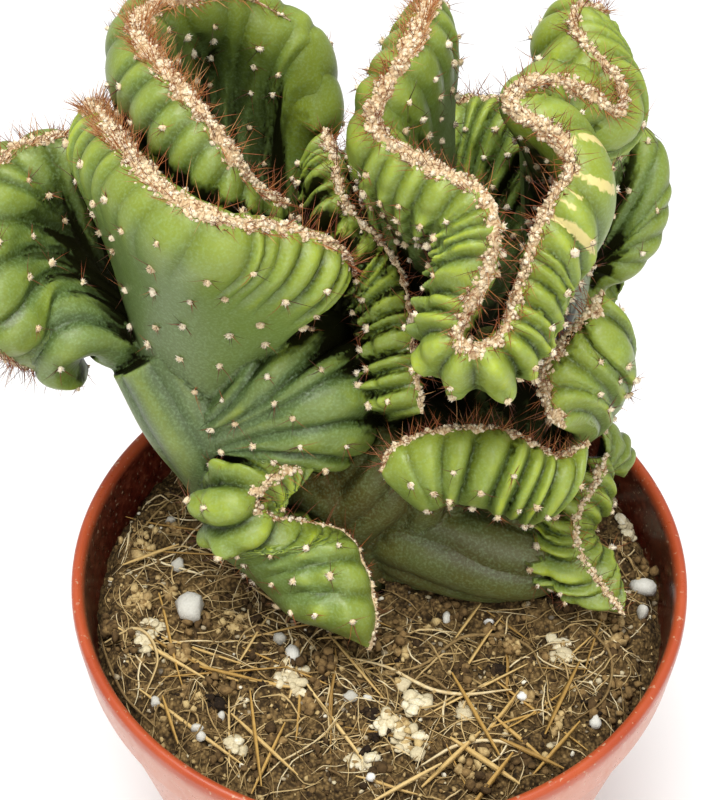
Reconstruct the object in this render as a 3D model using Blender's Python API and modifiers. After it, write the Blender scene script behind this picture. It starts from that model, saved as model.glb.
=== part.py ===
# Potted spiral cereus: a crested columnar cactus in a plain nursery pot
# Metres, +Z up. The pot stands on z = 0 and its axis is the Z axis; -Y is the front.

import math
import random

import bmesh
import bpy
import numpy as np
from mathutils import Matrix, Vector
from mathutils.bvhtree import BVHTree

# Driving dimensions
MM = 0.001
SEED = 5
GAP = 0.0003

RIM_RADIUS = 0.065
POT_HEIGHT = 0.105
BASE_RADIUS = 0.045
LIP_WIDTH = 0.0027
WALL = 0.0016
FLOOR = 0.0022
COLLAR_DROP = 0.0125
COLLAR_STEP = 0.0014
POT_STEPS = 36
HOLE_COUNT = 8
HOLE_RADIUS = 0.0035
HOLE_RING = 0.034

SOIL_LEVEL = 0.0948
SOIL_LUMP = 0.0006
SOIL_EDGE_DROP = 0.0075
GRAIN_COUNT = 16
GRAIN_SIZES = (0.0018, 0.0033)
STRAW_COUNT = 7
STRAW_RADIUS = 0.0007

# The stem's foot is an upright oval that stands in an oval hole in the growing mix
FOOT_CENTRE = (0.0, 0.011)
FOOT_RADII = (0.021, 0.012)
FOOT_BOTTOM = 0.080
FOOT_TOP = 0.102
CLEAR_OF_SOIL = 0.0965

VOXEL = 0.0009
BODY_TRIANGLES = 8100

WOOL_HALF_WIDTH = 0.0019
WOOL_HEIGHT = 0.0017
WOOL_SEAT = 0.00042
WOOL_STEP = 0.0042
WOOL_END = 0.0030
WOOL_FEWEST = 3
WOOL_FREE_HEIGHT = 0.0024
WOOL_FREE_GAP = 0.0006

SPINE_RADIUS = 0.00034
SPINE_SIDES = 3
SPINE_SUNK = 0.0009
CREST_SPINE_STEP = 0.0115
CREST_SPINE_LENGTHS = (0.0055, 0.0085)
AREOLE_SPINE_LENGTHS = (0.0050, 0.0085)
AREOLE_SPINES = 3
AREOLE_STEP = 0.0310
AREOLE_DEPTHS = (0.0075, 0.0210)
CLEAR_OF_NEIGHBOUR = 0.0005

# Each fan of the crest, in millimetres. crest is the growing edge, mid lies half way down and root
# is where the fan leaves the stem. half is half of the thickness, rib the width of one rib and
# depth its height, which fades out between fade0 and fade1 below the edge.
FANS = {
    "front_left": {
        "crest": [(-56, 41, 192), (-48, 23, 196), (-38, 7, 197), (-27, 2, 194), (-17, 6, 189),
                  (-8, 9, 182), (-5, 13, 172)],
        "mid": [(-50, 30, 170), (-41, 15, 170), (-29, 10, 166), (-16, 14, 162)],
        "root": [(-43, 19, 142), (-40, 15, 138), (-34, 14, 134), (-30, 18, 132)],
        "half": 7.5, "rib": 6.2, "depth": [2.8, 1.8, 1.6, 2.8, 3.0], "fade": (8, 26),
    },
    "far_left": {
        "crest": [(-57, 43, 182), (-64, 40, 184), (-72, 36, 183), (-77, 28, 180), (-79, 18, 174),
                  (-76, 9, 167), (-73, 7, 158), (-71, 17, 144), (-65, 19, 140), (-60, 23, 138)],
        "mid": [(-53, 34, 160), (-60, 38, 160), (-64, 31, 158), (-63, 19, 156), (-57, 14, 150)],
        "root": [(-43, 21, 142), (-44, 20, 140), (-44, 19, 137)],
        "half": 6.5, "rib": 9.5, "depth": [2.8], "fade": (24, 52),
    },
    "upper_left": {
        "crest": [(-17, 19, 184), (-22, 16, 190), (-26, 14, 198), (-31, 18, 204), (-37, 25, 207),
                  (-45, 41, 207), (-43, 52, 206), (-36, 55, 206), (-29, 61, 203), (-25, 67, 199),
                  (-19, 64, 192), (-17, 56, 182)],
        "mid": [(-22, 25, 160), (-29, 28, 165), (-37, 32, 170), (-43, 46, 174), (-39, 67, 176),
                (-31, 67, 176), (-25, 66, 174), (-21, 64, 168)],
        "root": [(-31, 19, 135), (-34, 25, 135), (-35, 34, 138), (-28, 47, 138), (-23, 47, 138)],
        "half": 7.0, "rib": 7.5, "depth": [3.0], "fade": (10, 28),
    },
    "top_spiral": {
        "crest": [(9, 44, 214), (6, 29, 215), (2, 21, 212), (-2, 17, 206), (0, 14, 203),
                  (7, 9, 201), (15, 4, 200), (18, 1, 198), (19, -3, 194), (17, -6, 187),
                  (14, -8, 181), (13, -10, 177), (16, -12, 176), (21, -9, 177), (24, -3, 181),
                  (26, 1, 188), (29, 6, 194), (33, 11, 199), (31, 15, 202), (27, 17, 204),
                  (23, 20, 205), (24, 24, 206), (30, 27, 206), (36, 27, 203), (41, 27, 200),
                  (41, 31, 203), (36, 34, 207), (34, 40, 209), (37, 44, 210), (42, 50, 205)],
        "mid": [(13, 41, 185), (9, 31, 180), (7, 23, 175), (12, 20, 165), (13, 13, 158),
                (16, 11, 150), (21, 9, 150), (27, 10, 154), (34, 14, 165), (37, 25, 172),
                (33, 35, 175), (32, 39, 178), (40, 38, 175), (44, 44, 178), (43, 50, 178)],
        "root": [(13, 32, 140), (11, 25, 138), (15, 19, 132), (21, 15, 130), (29, 19, 132),
                 (38, 27, 136), (36, 35, 140), (39, 41, 140)],
        "half": 7.0, "rib": 5.8, "depth": [2.8, 2.8, 3.4, 4.2, 4.2, 3.6, 3.0, 2.8],
        "fade": (9, 30),
    },
    "right_back": {
        "crest": [(48, 50, 180), (54, 50, 176), (57, 44, 170), (57, 38, 164), (54, 35, 159),
                  (50, 33, 156)],
        "mid": [(46, 41, 170), (50, 39, 164), (49, 35, 158)],
        "root": [(38, 36, 145), (39, 36, 142)],
        "half": 6.0, "rib": 7.0, "depth": [2.4], "fade": (22, 42),
    },
    "right_side": {
        "crest": [(42, 13, 168), (39, 8, 166), (36, 7, 163), (33, 5, 160), (31, 2, 156),
                  (32, -2, 152), (35, -5, 149)],
        "mid": [(46, 14, 146), (44, 12, 144), (41, 10, 140), (40, 6, 134)],
        "root": [(37, 17, 122), (37, 16, 120)],
        "half": 7.0, "rib": 6.0, "depth": [3.0], "fade": (10, 28),
    },
    "front_low": {
        "crest": [(0, -7, 139), (3, -4, 143), (10, -3, 146), (17, -3, 147), (24, -3, 146),
                  (30, -4, 143), (35, -4, 140), (41, 0, 140)],
        "mid": [(4, -5, 131), (12, -2, 132), (24, -3, 132), (37, -3, 130)],
        "root": [(13, 7, 118), (21, 8, 118), (32, 8, 116)],
        "half": 7.5, "rib": 6.5, "depth": [3.4], "fade": (10, 28),
    },
    "centre": {
        "crest": [(-11, 40, 186), (-9, 31, 185), (-7, 23, 181), (-1, 19, 176), (3, 17, 171),
                  (5, 13, 166), (6, 7, 160), (7, 2, 154), (8, -1, 149)],
        "mid": [(-7, 34, 163), (-2, 25, 155), (2, 18, 142), (3, 10, 133)],
        "root": [(2, 30, 130), (5, 23, 122), (6, 18, 118)],
        "half": 7.0, "rib": 5.4, "depth": [3.2], "fade": (10, 28),
    },
    "mid_left": {
        "crest": [(-19, 27, 148), (-10, 25, 144), (-5, 18, 138), (-6, 10, 131), (-12, 3, 126)],
        "mid": [(-28, 9, 150), (-17, 6, 150), (-15, 3, 144), (-24, 3, 134)],
        "root": [(-40, 14, 132), (-37, 10, 130), (-34, 7, 124)],
        "half": 6.5, "rib": 7.0, "depth": [2.4], "fade": (34, 60),
    },
    "lower_left": {
        "crest": [(-12, -1, 136), (-18, -3, 136), (-23, -5, 134), (-27, -7, 131), (-24, -8, 127),
                  (-16, -6, 123), (-7, -6, 119), (-3, -12, 115), (-1, -19, 110), (-2, -24, 104)],
        "mid": [(-22, 1, 128), (-30, 0, 126), (-33, -4, 122), (-26, -7, 118), (-18, -11, 113),
                (-10, -19, 106)],
        "root": [(-28, 6, 120), (-31, 3, 119), (-30, -3, 115), (-26, -6, 110), (-16, -11, 104)],
        "half": 6.5, "rib": 6.8, "depth": [3.0, 4.2, 4.0, 2.6, 1.8], "fade": (10, 28),
    },
    "lower_right": {
        "crest": [(48, 14, 121), (45, 8, 118), (41, 2, 114), (42, -4, 110), (46, -9, 106),
                  (51, -14, 102)],
        "mid": [(46, 17, 114), (41, 10, 111), (37, 6, 108), (38, 2, 105), (43, -3, 102)],
        "root": [(40, 22, 106), (34, 14, 104), (30, 9, 103), (34, 6, 101), (40, 0, 99)],
        "half": 7.0, "rib": 5.8, "depth": [3.4, 3.8, 3.0], "fade": (10, 28),
    },
    "low_right_back": {
        "crest": [(46, 17, 126), (51, 18, 122), (54, 17, 117), (53, 15, 112)],
        "mid": [(47, 20, 114), (48, 19, 110)],
        "root": [(43, 22, 107), (43, 19, 104)],
        "half": 6.0, "rib": 7.0, "depth": [1.6], "fade": (10, 28),
    },
    "back_right": {
        "crest": [(-14, 58, 158), (-4, 66, 164), (8, 66, 168), (20, 70, 172), (34, 64, 172),
                  (46, 58, 166), (54, 48, 158)],
        "mid": [(-4, 46, 140), (14, 52, 142), (34, 46, 142)],
        "root": [(0, 22, 118), (12, 22, 118), (20, 20, 118)],
        "half": 7.0, "rib": 6.5, "depth": [2.6], "fade": (14, 34),
    },
    "back_left": {
        "crest": [(-58, 40, 150), (-52, 52, 156), (-38, 60, 158), (-24, 58, 154), (-16, 50, 148)],
        "mid": [(-46, 32, 132), (-34, 40, 132), (-22, 36, 130)],
        "root": [(-24, 14, 112), (-14, 16, 112)],
        "half": 6.5, "rib": 6.5, "depth": [2.4], "fade": (14, 34),
    },
    "inner": {
        "crest": [(-26, 34, 156), (-18, 40, 162), (-10, 36, 165), (-4, 30, 162), (0, 22, 154)],
        "mid": [(-16, 28, 140), (-8, 28, 142), (0, 20, 138)],
        "root": [(-6, 16, 116), (0, 16, 116), (4, 14, 116)],
        "half": 6.5, "rib": 6.0, "depth": [2.8], "fade": (10, 28),
    },
}

# Old crests that have stopped growing carry no wool
NO_WOOL = ("right_back", "mid_left", "low_right_back")

# Round stems that carry the fans, as points in millimetres with the radius at each
STEMS = {
    "trunk_left": [(-9, 10, 94, 11.5), (-7, 11, 106, 11.5), (0, 12, 120, 12), (6, 14, 134, 11)],
    "trunk_right": [(9, 12, 94, 11.5), (9, 12, 106, 12), (9, 13, 120, 12), (11, 15, 134, 12)],
    "neck": [(-13, 9, 99, 9), (-25, 6, 112, 10), (-32, 12, 125, 10), (-37, 12, 140, 9)],
    "side_branch": [(8, 8, 107, 8.5), (20, 5, 107, 8.5), (31, 7, 106, 7.5), (38, 11, 107, 6)],
    "back_stem": [(-6, 16, 104, 9), (-14, 20, 112, 9), (-22, 26, 122, 8)],
}


# Scene helpers

def clear_scene():
    for obj in list(bpy.data.objects):
        bpy.data.objects.remove(obj)


def make_collection(name, hidden=False):
    collection = bpy.data.collections.new(name)
    bpy.context.scene.collection.children.link(collection)
    collection.hide_render = hidden
    return collection


def make_material(name, colour, roughness):
    material = bpy.data.materials.new(name)
    material.use_nodes = True
    shader = material.node_tree.nodes["Principled BSDF"]
    shader.inputs["Base Color"].default_value = (*colour, 1.0)
    shader.inputs["Roughness"].default_value = roughness
    shader.inputs["Metallic"].default_value = 0.0
    return material


def add_object(name, mesh, collection, material=None):
    obj = bpy.data.objects.new(name, mesh)
    collection.objects.link(obj)
    if material:
        mesh.materials.clear()
        mesh.materials.append(material)
    return obj


def mesh_from(name, points, faces):
    mesh = bpy.data.meshes.new(name)
    mesh.from_pydata([tuple(p) for p in points], [], faces)
    return mesh


def baked(obj):
    """The object's mesh as its modifiers make it, as a plain mesh."""
    bpy.context.view_layer.update()
    graph = bpy.context.evaluated_depsgraph_get()
    mesh = bpy.data.meshes.new_from_object(obj.evaluated_get(graph))
    obj.modifiers.clear()
    return mesh


def bake(obj):
    obj.data = baked(obj)


def weld(mesh, distance):
    work = bmesh.new()
    work.from_mesh(mesh)
    bmesh.ops.remove_doubles(work, verts=work.verts, dist=distance)
    bmesh.ops.recalc_face_normals(work, faces=work.faces)
    work.to_mesh(mesh)
    work.free()


def cut_or_join(obj, others, operation):
    """One Boolean of obj with every object in the collection others, applied, and they are removed."""
    step = obj.modifiers.new(operation.lower(), "BOOLEAN")
    step.operation = operation
    step.solver = "MANIFOLD"
    step.operand_type = "COLLECTION"
    step.collection = others
    bake(obj)
    for other in list(others.objects):
        bpy.data.objects.remove(other)


def keep_largest_piece(mesh):
    """Deletes loose scrap that a cut leaves."""
    work = bmesh.new()
    work.from_mesh(mesh)
    left = set(work.verts)
    pieces = []
    while left:
        start = left.pop()
        piece = [start]
        front = [start]
        while front:
            vertex = front.pop()
            for edge in vertex.link_edges:
                other = edge.other_vert(vertex)
                if other in left:
                    left.remove(other)
                    piece.append(other)
                    front.append(other)
        pieces.append(piece)
    pieces.sort(key=len)
    for piece in pieces[:-1]:
        bmesh.ops.delete(work, geom=piece, context="VERTS")
    work.to_mesh(mesh)
    work.free()


def shade(obj, angle):
    obj.data.shade_smooth()
    obj.data.set_sharp_from_angle(angle=math.radians(angle))


def tree_of(mesh):
    points = [v.co.copy() for v in mesh.vertices]
    return BVHTree.FromPolygons(points, [tuple(p.vertices) for p in mesh.polygons])


def is_inside(tree, point):
    """Counts the surfaces that a ray from the point crosses."""
    heading = Vector((0.31, 0.52, 0.79)).normalized()
    crossings = 0
    place = tree.ray_cast(point, heading)[0]
    while place is not None:
        crossings += 1
        place = tree.ray_cast(place + heading * 1e-6, heading)[0]
    return crossings % 2 == 1


def distance_outside(tree, point):
    """Distance from the surface, below zero inside it."""
    distance = tree.find_nearest(point)[3]
    return -distance if is_inside(tree, point) else distance


# Curves and fans

def smooth_curve(points, at):
    """Catmull-Rom curve through the points, read at values from 0 to 1."""
    points = np.asarray(points, float)
    last = len(points) - 1
    padded = np.vstack([2 * points[0] - points[1], points, 2 * points[-1] - points[-2]])
    place = np.clip(np.asarray(at) * last, 0, last - 1e-9)
    start = place.astype(int)
    f = (place - start)[:, None]
    a, b, c, d = (padded[start + k] for k in range(4))
    return 0.5 * (2 * b + (c - a) * f + (2 * a - 5 * b + 4 * c - d) * f**2
                  + (3 * b - a - 3 * c + d) * f**3)


def ramp(value, low, high):
    t = np.clip((value - low) / (high - low), 0, 1)
    return t * t * (3 - 2 * t)


def unit(vectors):
    return vectors / np.maximum(np.linalg.norm(vectors, axis=-1, keepdims=True), 1e-12)


def fan_sheet(fan, step=0.9, rows=36):
    """The fan's middle sheet: points by row and column, arc along the crest, depth below it (mm)."""
    fine = np.linspace(0, 1, 1200)
    edge = smooth_curve(fan["crest"], fine)
    arc = np.concatenate([[0], np.cumsum(np.linalg.norm(np.diff(edge, axis=0), axis=1))])
    along = np.linspace(0, arc[-1], max(int(arc[-1] / step), 12))
    at = np.interp(along, arc, fine)
    crest = smooth_curve(fan["crest"], at)
    mid = smooth_curve(fan["mid"], at)
    root = smooth_curve(fan["root"], at)
    pull = 2 * mid - (root + crest) / 2
    v = (np.sin(np.linspace(0, 1, rows) * math.pi / 2) ** 0.9)[:, None, None]
    sheet = (1 - v) ** 2 * root + 2 * v * (1 - v) * pull + v**2 * crest
    pieces = np.linalg.norm(np.diff(sheet, axis=0), axis=2)
    depth = np.zeros(sheet.shape[:2])
    depth[:-1] = np.cumsum(pieces[::-1], axis=0)[::-1]
    return sheet, along, depth


def rib_wave(fan, along, side):
    """0 in the grooves and 1 on the ribs, with uneven rib widths."""
    turns = along / fan["rib"]
    turns = turns + 0.18 * np.sin(1.7 * turns + 1.3) + 0.12 * np.sin(0.61 * turns + 4.0)
    shifted = turns[None, :] + np.where(side[:, None] > 0, 0.0, 0.37)
    return np.abs(np.sin(math.pi * shifted)) ** 0.6


def fan_skin(fan):
    """The fan's closed skin: rings of points from the root over the crest and back to the root."""
    sheet, along, depth = fan_sheet(fan)
    normal = unit(np.cross(np.gradient(sheet, axis=1), np.gradient(sheet, axis=0)))
    half = fan["half"]
    shoulder = 1.15 * half
    thickness = half * np.sqrt(1 - (1 - np.clip(depth / shoulder, 0, 1)) ** 2)
    thickness *= 1 - 0.25 * ramp(depth, shoulder, 30)
    from_end = np.minimum(along, along[-1] - along)
    taper = np.sqrt(1 - (1 - np.clip(from_end / 9.0, 0, 1)) ** 2)
    thickness *= taper[None, :]
    offset = normal * thickness[..., None]
    skin = np.concatenate([sheet + offset, (sheet - offset)[::-1][1:]])
    out = np.concatenate([normal, -normal[::-1][1:]])
    below = np.concatenate([depth, depth[::-1][1:]])
    side = np.concatenate([np.ones(len(sheet)), -np.ones(len(sheet) - 1)])
    up = unit(np.gradient(sheet, axis=0)[-1])
    top = np.exp(-(below / (0.35 * shoulder)) ** 2)[..., None]
    out = unit(out * (1 - top) + up[None] * top)
    height = np.interp(np.linspace(0, 1, len(along)), np.linspace(0, 1, len(fan["depth"])), fan["depth"])
    height = height[None, :] * ramp(below, 0.8, 4.5) * (1 - ramp(below, *fan["fade"]))
    height *= 0.35 + 0.65 * taper[None, :]
    return skin + out * (height * (rib_wave(fan, along, side) - 0.62))[..., None]


def ring_faces(rings, columns, first):
    faces = []
    for i in range(rings):
        j = (i + 1) % rings
        for k in range(columns - 1):
            faces.append((first + i * columns + k, first + i * columns + k + 1,
                          first + j * columns + k + 1, first + j * columns + k))
    return faces


def crest_frame(fan, step):
    """Points, tangents, upward and sideways directions along the crest, in metres, every step."""
    sheet, along, _ = fan_sheet(fan)
    count = max(int(along[-1] * MM / step), 3)
    at = np.linspace(0, len(along) - 1, count + 1)
    columns = np.arange(len(along))
    up_all = unit(np.gradient(sheet, axis=0)[-1])
    point = np.stack([np.interp(at, columns, sheet[-1][:, k]) for k in range(3)], axis=1)
    up = unit(np.stack([np.interp(at, columns, up_all[:, k]) for k in range(3)], axis=1))
    tangent = unit(np.gradient(point, axis=0))
    up = unit(up - tangent * np.sum(up * tangent, axis=1, keepdims=True))
    return point * MM, tangent, up, np.cross(tangent, up)


# Cactus body

def tube_mesh(name, route, radii, smoothness, helpers):
    """A closed tube along a route, with its own radius at each point."""
    curve = bpy.data.curves.new(name, "CURVE")
    curve.dimensions = "3D"
    curve.bevel_depth = 1.0
    curve.bevel_resolution = smoothness
    curve.use_fill_caps = True
    spline = curve.splines.new("POLY")
    spline.points.add(len(route) - 1)
    for target, place, radius in zip(spline.points, route, radii):
        target.co = (*place, 1.0)
        target.radius = radius
    guide = bpy.data.objects.new(name, curve)
    helpers.objects.link(guide)
    mesh = baked(guide)
    bpy.data.objects.remove(guide)
    weld(mesh, 1e-6)
    return mesh


def build_cactus(collection, helpers, material):
    """Every fan and stem grown into one green body, with plain facets."""
    points = []
    faces = []
    for fan in FANS.values():
        skin = fan_skin(fan)
        faces += ring_faces(skin.shape[0], skin.shape[1], len(points))
        points += [tuple(p) for p in skin.reshape(-1, 3) * MM]
    for name, stations in STEMS.items():
        route = smooth_curve(stations, np.linspace(0, 1, 14)) * MM
        stem = tube_mesh(name, route[:, :3], route[:, 3], 6, helpers)
        first = len(points)
        points += [tuple(v.co) for v in stem.vertices]
        faces += [tuple(first + i for i in p.vertices) for p in stem.polygons]
    body = add_object("cactus", mesh_from("cactus", points, faces), collection, material)
    remesh = body.modifiers.new("grow together", "REMESH")
    remesh.mode = "VOXEL"
    remesh.voxel_size = VOXEL
    bake(body)
    keep_largest_piece(body.data)
    reduce = body.modifiers.new("facets", "DECIMATE")
    reduce.ratio = BODY_TRIANGLES / (2 * len(body.data.polygons))
    bake(body)

    bpy.ops.mesh.primitive_cube_add(size=1, location=(0, 0, CLEAR_OF_SOIL / 2))
    below = bpy.context.object
    below.name = "below_soil"
    below.scale = (2 * POT_HEIGHT, 2 * POT_HEIGHT, CLEAR_OF_SOIL)
    move_to(below, helpers)
    cut_or_join(body, helpers, "DIFFERENCE")
    keep_largest_piece(body.data)
    oval_post("foot", FOOT_RADII, FOOT_BOTTOM, FOOT_TOP, helpers)
    cut_or_join(body, helpers, "UNION")
    body.data.materials.clear()
    body.data.materials.append(material)
    return body


def move_to(obj, collection):
    for old in list(obj.users_collection):
        old.objects.unlink(obj)
    collection.objects.link(obj)


def oval_post(name, radii, bottom, top, collection):
    bpy.ops.mesh.primitive_cylinder_add(vertices=24, radius=1, depth=top - bottom,
                                        location=(*FOOT_CENTRE, (top + bottom) / 2))
    post = bpy.context.object
    post.name = name
    post.scale = (radii[0], radii[1], 1)
    move_to(post, collection)
    return post


# Wool along the crests

def wool_runs(fan, tree):
    """Stretches of the crest that stand free of the other fans, each a list of stations."""
    point, _, up, across = crest_frame(fan, WOOL_STEP / 3)
    free = [
        all(distance_outside(tree, Vector(p + u * WOOL_FREE_HEIGHT + a * side)) > WOOL_FREE_GAP
            for side in (-WOOL_HALF_WIDTH, 0.0, WOOL_HALF_WIDTH))
        for p, u, a in zip(point, up, across)
    ]
    trim = round(WOOL_END / WOOL_STEP * 3)
    runs = [[]]
    for i in range(trim, len(point) - trim, 3):
        if all(free[i - 2:i + 3]):
            runs[-1].append((point[i], up[i], across[i]))
        elif runs[-1]:
            runs.append([])
    return [run for run in runs if len(run) >= WOOL_FEWEST]


def on_skin(tree, start, up):
    """The place on the skin below start."""
    hit = tree.ray_cast(Vector(start + up * WOOL_FREE_HEIGHT), Vector(-up), 0.008)[0]
    return np.array(hit) if hit is not None else start


def lift_clear(tree, base, ups):
    """Raises each station of the band's underside until no span between two of them cuts the skin."""
    lifts = np.zeros(len(base))
    for i in range(len(base) - 1):
        for s in np.linspace(0, 1, 6):
            up = unit(ups[i] * (1 - s) + ups[i + 1] * s)
            row = base[i] * (1 - s) + base[i + 1] * s
            for t in np.linspace(0, 2, 9):
                left = min(int(t), 1)
                place = row[left] * (1 - (t - left)) + row[left + 1] * (t - left)
                need = np.dot(on_skin(tree, place, up) - place, up) + WOOL_SEAT
                lifts[i] = max(lifts[i], need)
                lifts[i + 1] = max(lifts[i + 1], need)
    return base + (ups * lifts[:, None])[:, None, :]


def build_wool(name, stations, tree, collection, material, draw):
    """A low rounded band of wool lying along the crest, with its underside just clear of the skin."""
    last = len(stations) - 1
    base = []
    rises = []
    for i, (point, up, across) in enumerate(stations):
        at_end = i in (0, last)
        width = WOOL_HALF_WIDTH * (0.55 if at_end else draw.uniform(0.78, 1.12))
        rises.append(up * WOOL_HEIGHT * (0.6 if at_end else draw.uniform(0.8, 1.15)))
        row = [on_skin(tree, point + across * width * side, up) for side in (-1, 0, 1)]
        base.append(row)
    ups = np.array([station[1] for station in stations])
    base = lift_clear(tree, np.array(base), ups)
    points = []
    for (left, centre, right), rise in zip(base, rises):
        points += [left, centre, right, right + rise * 0.55, centre + rise, left + rise * 0.55]
    sides = 6
    faces = [tuple(reversed(range(sides))), tuple(last * sides + k for k in range(sides))]
    for i in range(last):
        for k in range(sides):
            n = (k + 1) % sides
            faces.append((i * sides + k, i * sides + n, (i + 1) * sides + n, (i + 1) * sides + k))
    mesh = mesh_from(name, points, faces)
    work = bmesh.new()
    work.from_mesh(mesh)
    bmesh.ops.triangulate(work, faces=work.faces)
    bmesh.ops.recalc_face_normals(work, faces=work.faces)
    work.to_mesh(mesh)
    work.free()
    return add_object(name, mesh, collection, material)


# Spines

def add_spine(root, direction, length, collection):
    """A thin three-sided spine whose root is sunk into what it grows from."""
    work = bmesh.new()
    bmesh.ops.create_cone(work, cap_ends=True, segments=SPINE_SIDES, radius1=SPINE_RADIUS,
                          radius2=0.0, depth=length + SPINE_SUNK)
    shift = Matrix.Translation((0, 0, (length + SPINE_SUNK) / 2 - SPINE_SUNK))
    turn = direction.to_track_quat("Z", "Y").to_matrix().to_4x4()
    bmesh.ops.transform(work, matrix=Matrix.Translation(root) @ turn @ shift, verts=work.verts)
    mesh = bpy.data.meshes.new("spine")
    work.to_mesh(mesh)
    work.free()
    return add_object("spine", mesh, collection)


def spine_is_clear(root, direction, length, trees, start=0.0006):
    """True where the spine keeps away from every neighbour from start up to a little past its tip."""
    steps = 7
    for k in range(steps + 1):
        place = root + direction * (start + (length + 0.0006 - start) * k / steps)
        if any(distance_outside(tree, place) < CLEAR_OF_NEIGHBOUR for tree in trees):
            return False
    return True


def grow_crest_spines(wool, fan, body_tree, other_trees, helpers, draw):
    tree = tree_of(wool.data)
    point, tangent, up, across = crest_frame(fan, CREST_SPINE_STEP)
    count = 0
    for p, t, u, a in zip(point, tangent, up, across):
        top = tree.ray_cast(Vector(p + u * 0.008), Vector(-u), 0.012)[0]
        if top is None:
            continue
        for lean in (-1, 1):
            for _ in range(4):
                tilt = math.radians(draw.uniform(12, 48)) * lean
                swing = draw.uniform(-0.35, 0.35)
                direction = Vector(u * math.cos(tilt) + a * math.sin(tilt) + t * swing).normalized()
                length = draw.uniform(*CREST_SPINE_LENGTHS)
                if spine_is_clear(top, direction, length, [body_tree] + other_trees):
                    add_spine(top, direction, length, helpers)
                    count += 1
                    break
    if count:
        cut_or_join(wool, helpers, "UNION")
    return count


def grow_areole_spines(body, tree, other_trees, helpers, draw):
    """Small groups of spines on the ribs of every fan, on both faces."""
    count = 0
    taken = []
    for fan in FANS.values():
        sheet, along, depth = fan_sheet(fan)
        normal = unit(np.cross(np.gradient(sheet, axis=1), np.gradient(sheet, axis=0)))
        groups = max(int(along[-1] * MM / AREOLE_STEP), 1)
        for side in (-1, 1):
            for k in range(groups):
                column = int((k + 0.5 + (0.25 if side > 0 else -0.2)) / groups * (len(along) - 1))
                column = min(max(column, 0), len(along) - 1)
                below = AREOLE_DEPTHS[(k + (side > 0)) % 2] / MM
                row = int(np.argmin(np.abs(depth[:, column] - below)))
                outward = Vector(normal[row, column] * side)
                middle = Vector(sheet[row, column] * MM)
                start = middle + outward * 0.016
                place, face_normal, _, _ = tree.ray_cast(start, -outward, 0.020)
                if place is None or (place - middle).length > 0.0125:
                    continue
                if any((place - other).length < 0.007 for other in taken):
                    continue
                added = 0
                for n in range(AREOLE_SPINES):
                    turn = n * math.tau / AREOLE_SPINES + draw.uniform(-0.5, 0.5)
                    flat = face_normal.orthogonal().normalized()
                    flat.rotate(Matrix.Rotation(turn, 3, face_normal))
                    lean = draw.uniform(0.55, 1.0)
                    direction = (face_normal + flat * lean).normalized()
                    length = draw.uniform(*AREOLE_SPINE_LENGTHS)
                    if not spine_is_clear(place, direction, length, other_trees, 0.0):
                        continue
                    if not spine_is_clear(place, direction, length, [tree], 0.0022):
                        continue
                    add_spine(place, direction, length, helpers)
                    added += 1
                if added:
                    taken.append(place)
                    count += added
    cut_or_join(body, helpers, "UNION")
    return count


# Pot and growing mix

def inner_radius(height):
    """Inside radius of the pot's tapered wall at a height."""
    low = 0.005
    high = POT_HEIGHT - COLLAR_DROP - COLLAR_STEP
    bottom = BASE_RADIUS - WALL + 0.0012
    top = RIM_RADIUS - LIP_WIDTH - 0.0006
    return bottom + (top - bottom) * (height - low) / (high - low)


def turned(name, profile, steps, collection, material):
    """A turned solid from a profile of radius and height that starts and ends on the axis."""
    points = [(radius, 0.0, height) for radius, height in profile]
    mesh = bpy.data.meshes.new(name)
    mesh.from_pydata(points, [(i, i + 1) for i in range(len(points) - 1)], [])
    obj = add_object(name, mesh, collection, material)
    screw = obj.modifiers.new("turn", "SCREW")
    screw.steps = steps
    screw.render_steps = steps
    screw.use_merge_vertices = True
    screw.merge_threshold = 0.00002
    bake(obj)
    return obj


def build_pot(collection, helpers, material):
    top = POT_HEIGHT
    collar = top - COLLAR_DROP
    inside = RIM_RADIUS - LIP_WIDTH
    profile = [
        (0.0, FLOOR),
        (BASE_RADIUS - WALL - 0.0006, FLOOR),
        (inner_radius(0.005), 0.005),
        (inner_radius(collar - COLLAR_STEP), collar - COLLAR_STEP),
        (inside - 0.0002, top - 0.0030),
        (inside + 0.0003, top - 0.0007),
        (inside + 0.0010, top),
        (RIM_RADIUS - 0.0009, top),
        (RIM_RADIUS - 0.0002, top - 0.0006),
        (RIM_RADIUS, top - 0.0024),
        (RIM_RADIUS - 0.0007, collar),
        (RIM_RADIUS - COLLAR_STEP - 0.0006, collar - 0.0010),
        (BASE_RADIUS + 0.0010, 0.0042),
        (BASE_RADIUS + 0.0002, 0.0012),
        (BASE_RADIUS - 0.0012, 0.0),
        (0.0, 0.0),
    ]
    pot = turned("pot", profile, POT_STEPS, collection, material)
    for k in range(HOLE_COUNT):
        turn = math.tau * (k + 0.5) / HOLE_COUNT
        bpy.ops.mesh.primitive_cylinder_add(
            vertices=12, radius=HOLE_RADIUS, depth=0.01,
            location=(HOLE_RING * math.cos(turn), HOLE_RING * math.sin(turn), FLOOR / 2))
        bpy.context.object.name = "drain_hole"
        move_to(bpy.context.object, helpers)
    cut_or_join(pot, helpers, "DIFFERENCE")
    pot.data.materials.clear()
    pot.data.materials.append(material)
    shade(pot, 35)
    return pot


def soil_lumps(draw):
    return [(draw.uniform(-0.06, 0.06), draw.uniform(-0.06, 0.06), draw.uniform(0.004, 0.008),
             draw.uniform(-1, 1)) for _ in range(90)]


def lump_height(lumps, x, y):
    total = sum(size * math.exp(-((x - cx) ** 2 + (y - cy) ** 2) / width**2)
                for cx, cy, width, size in lumps)
    return SOIL_LUMP * max(-2.0, min(1.2, total))


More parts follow.
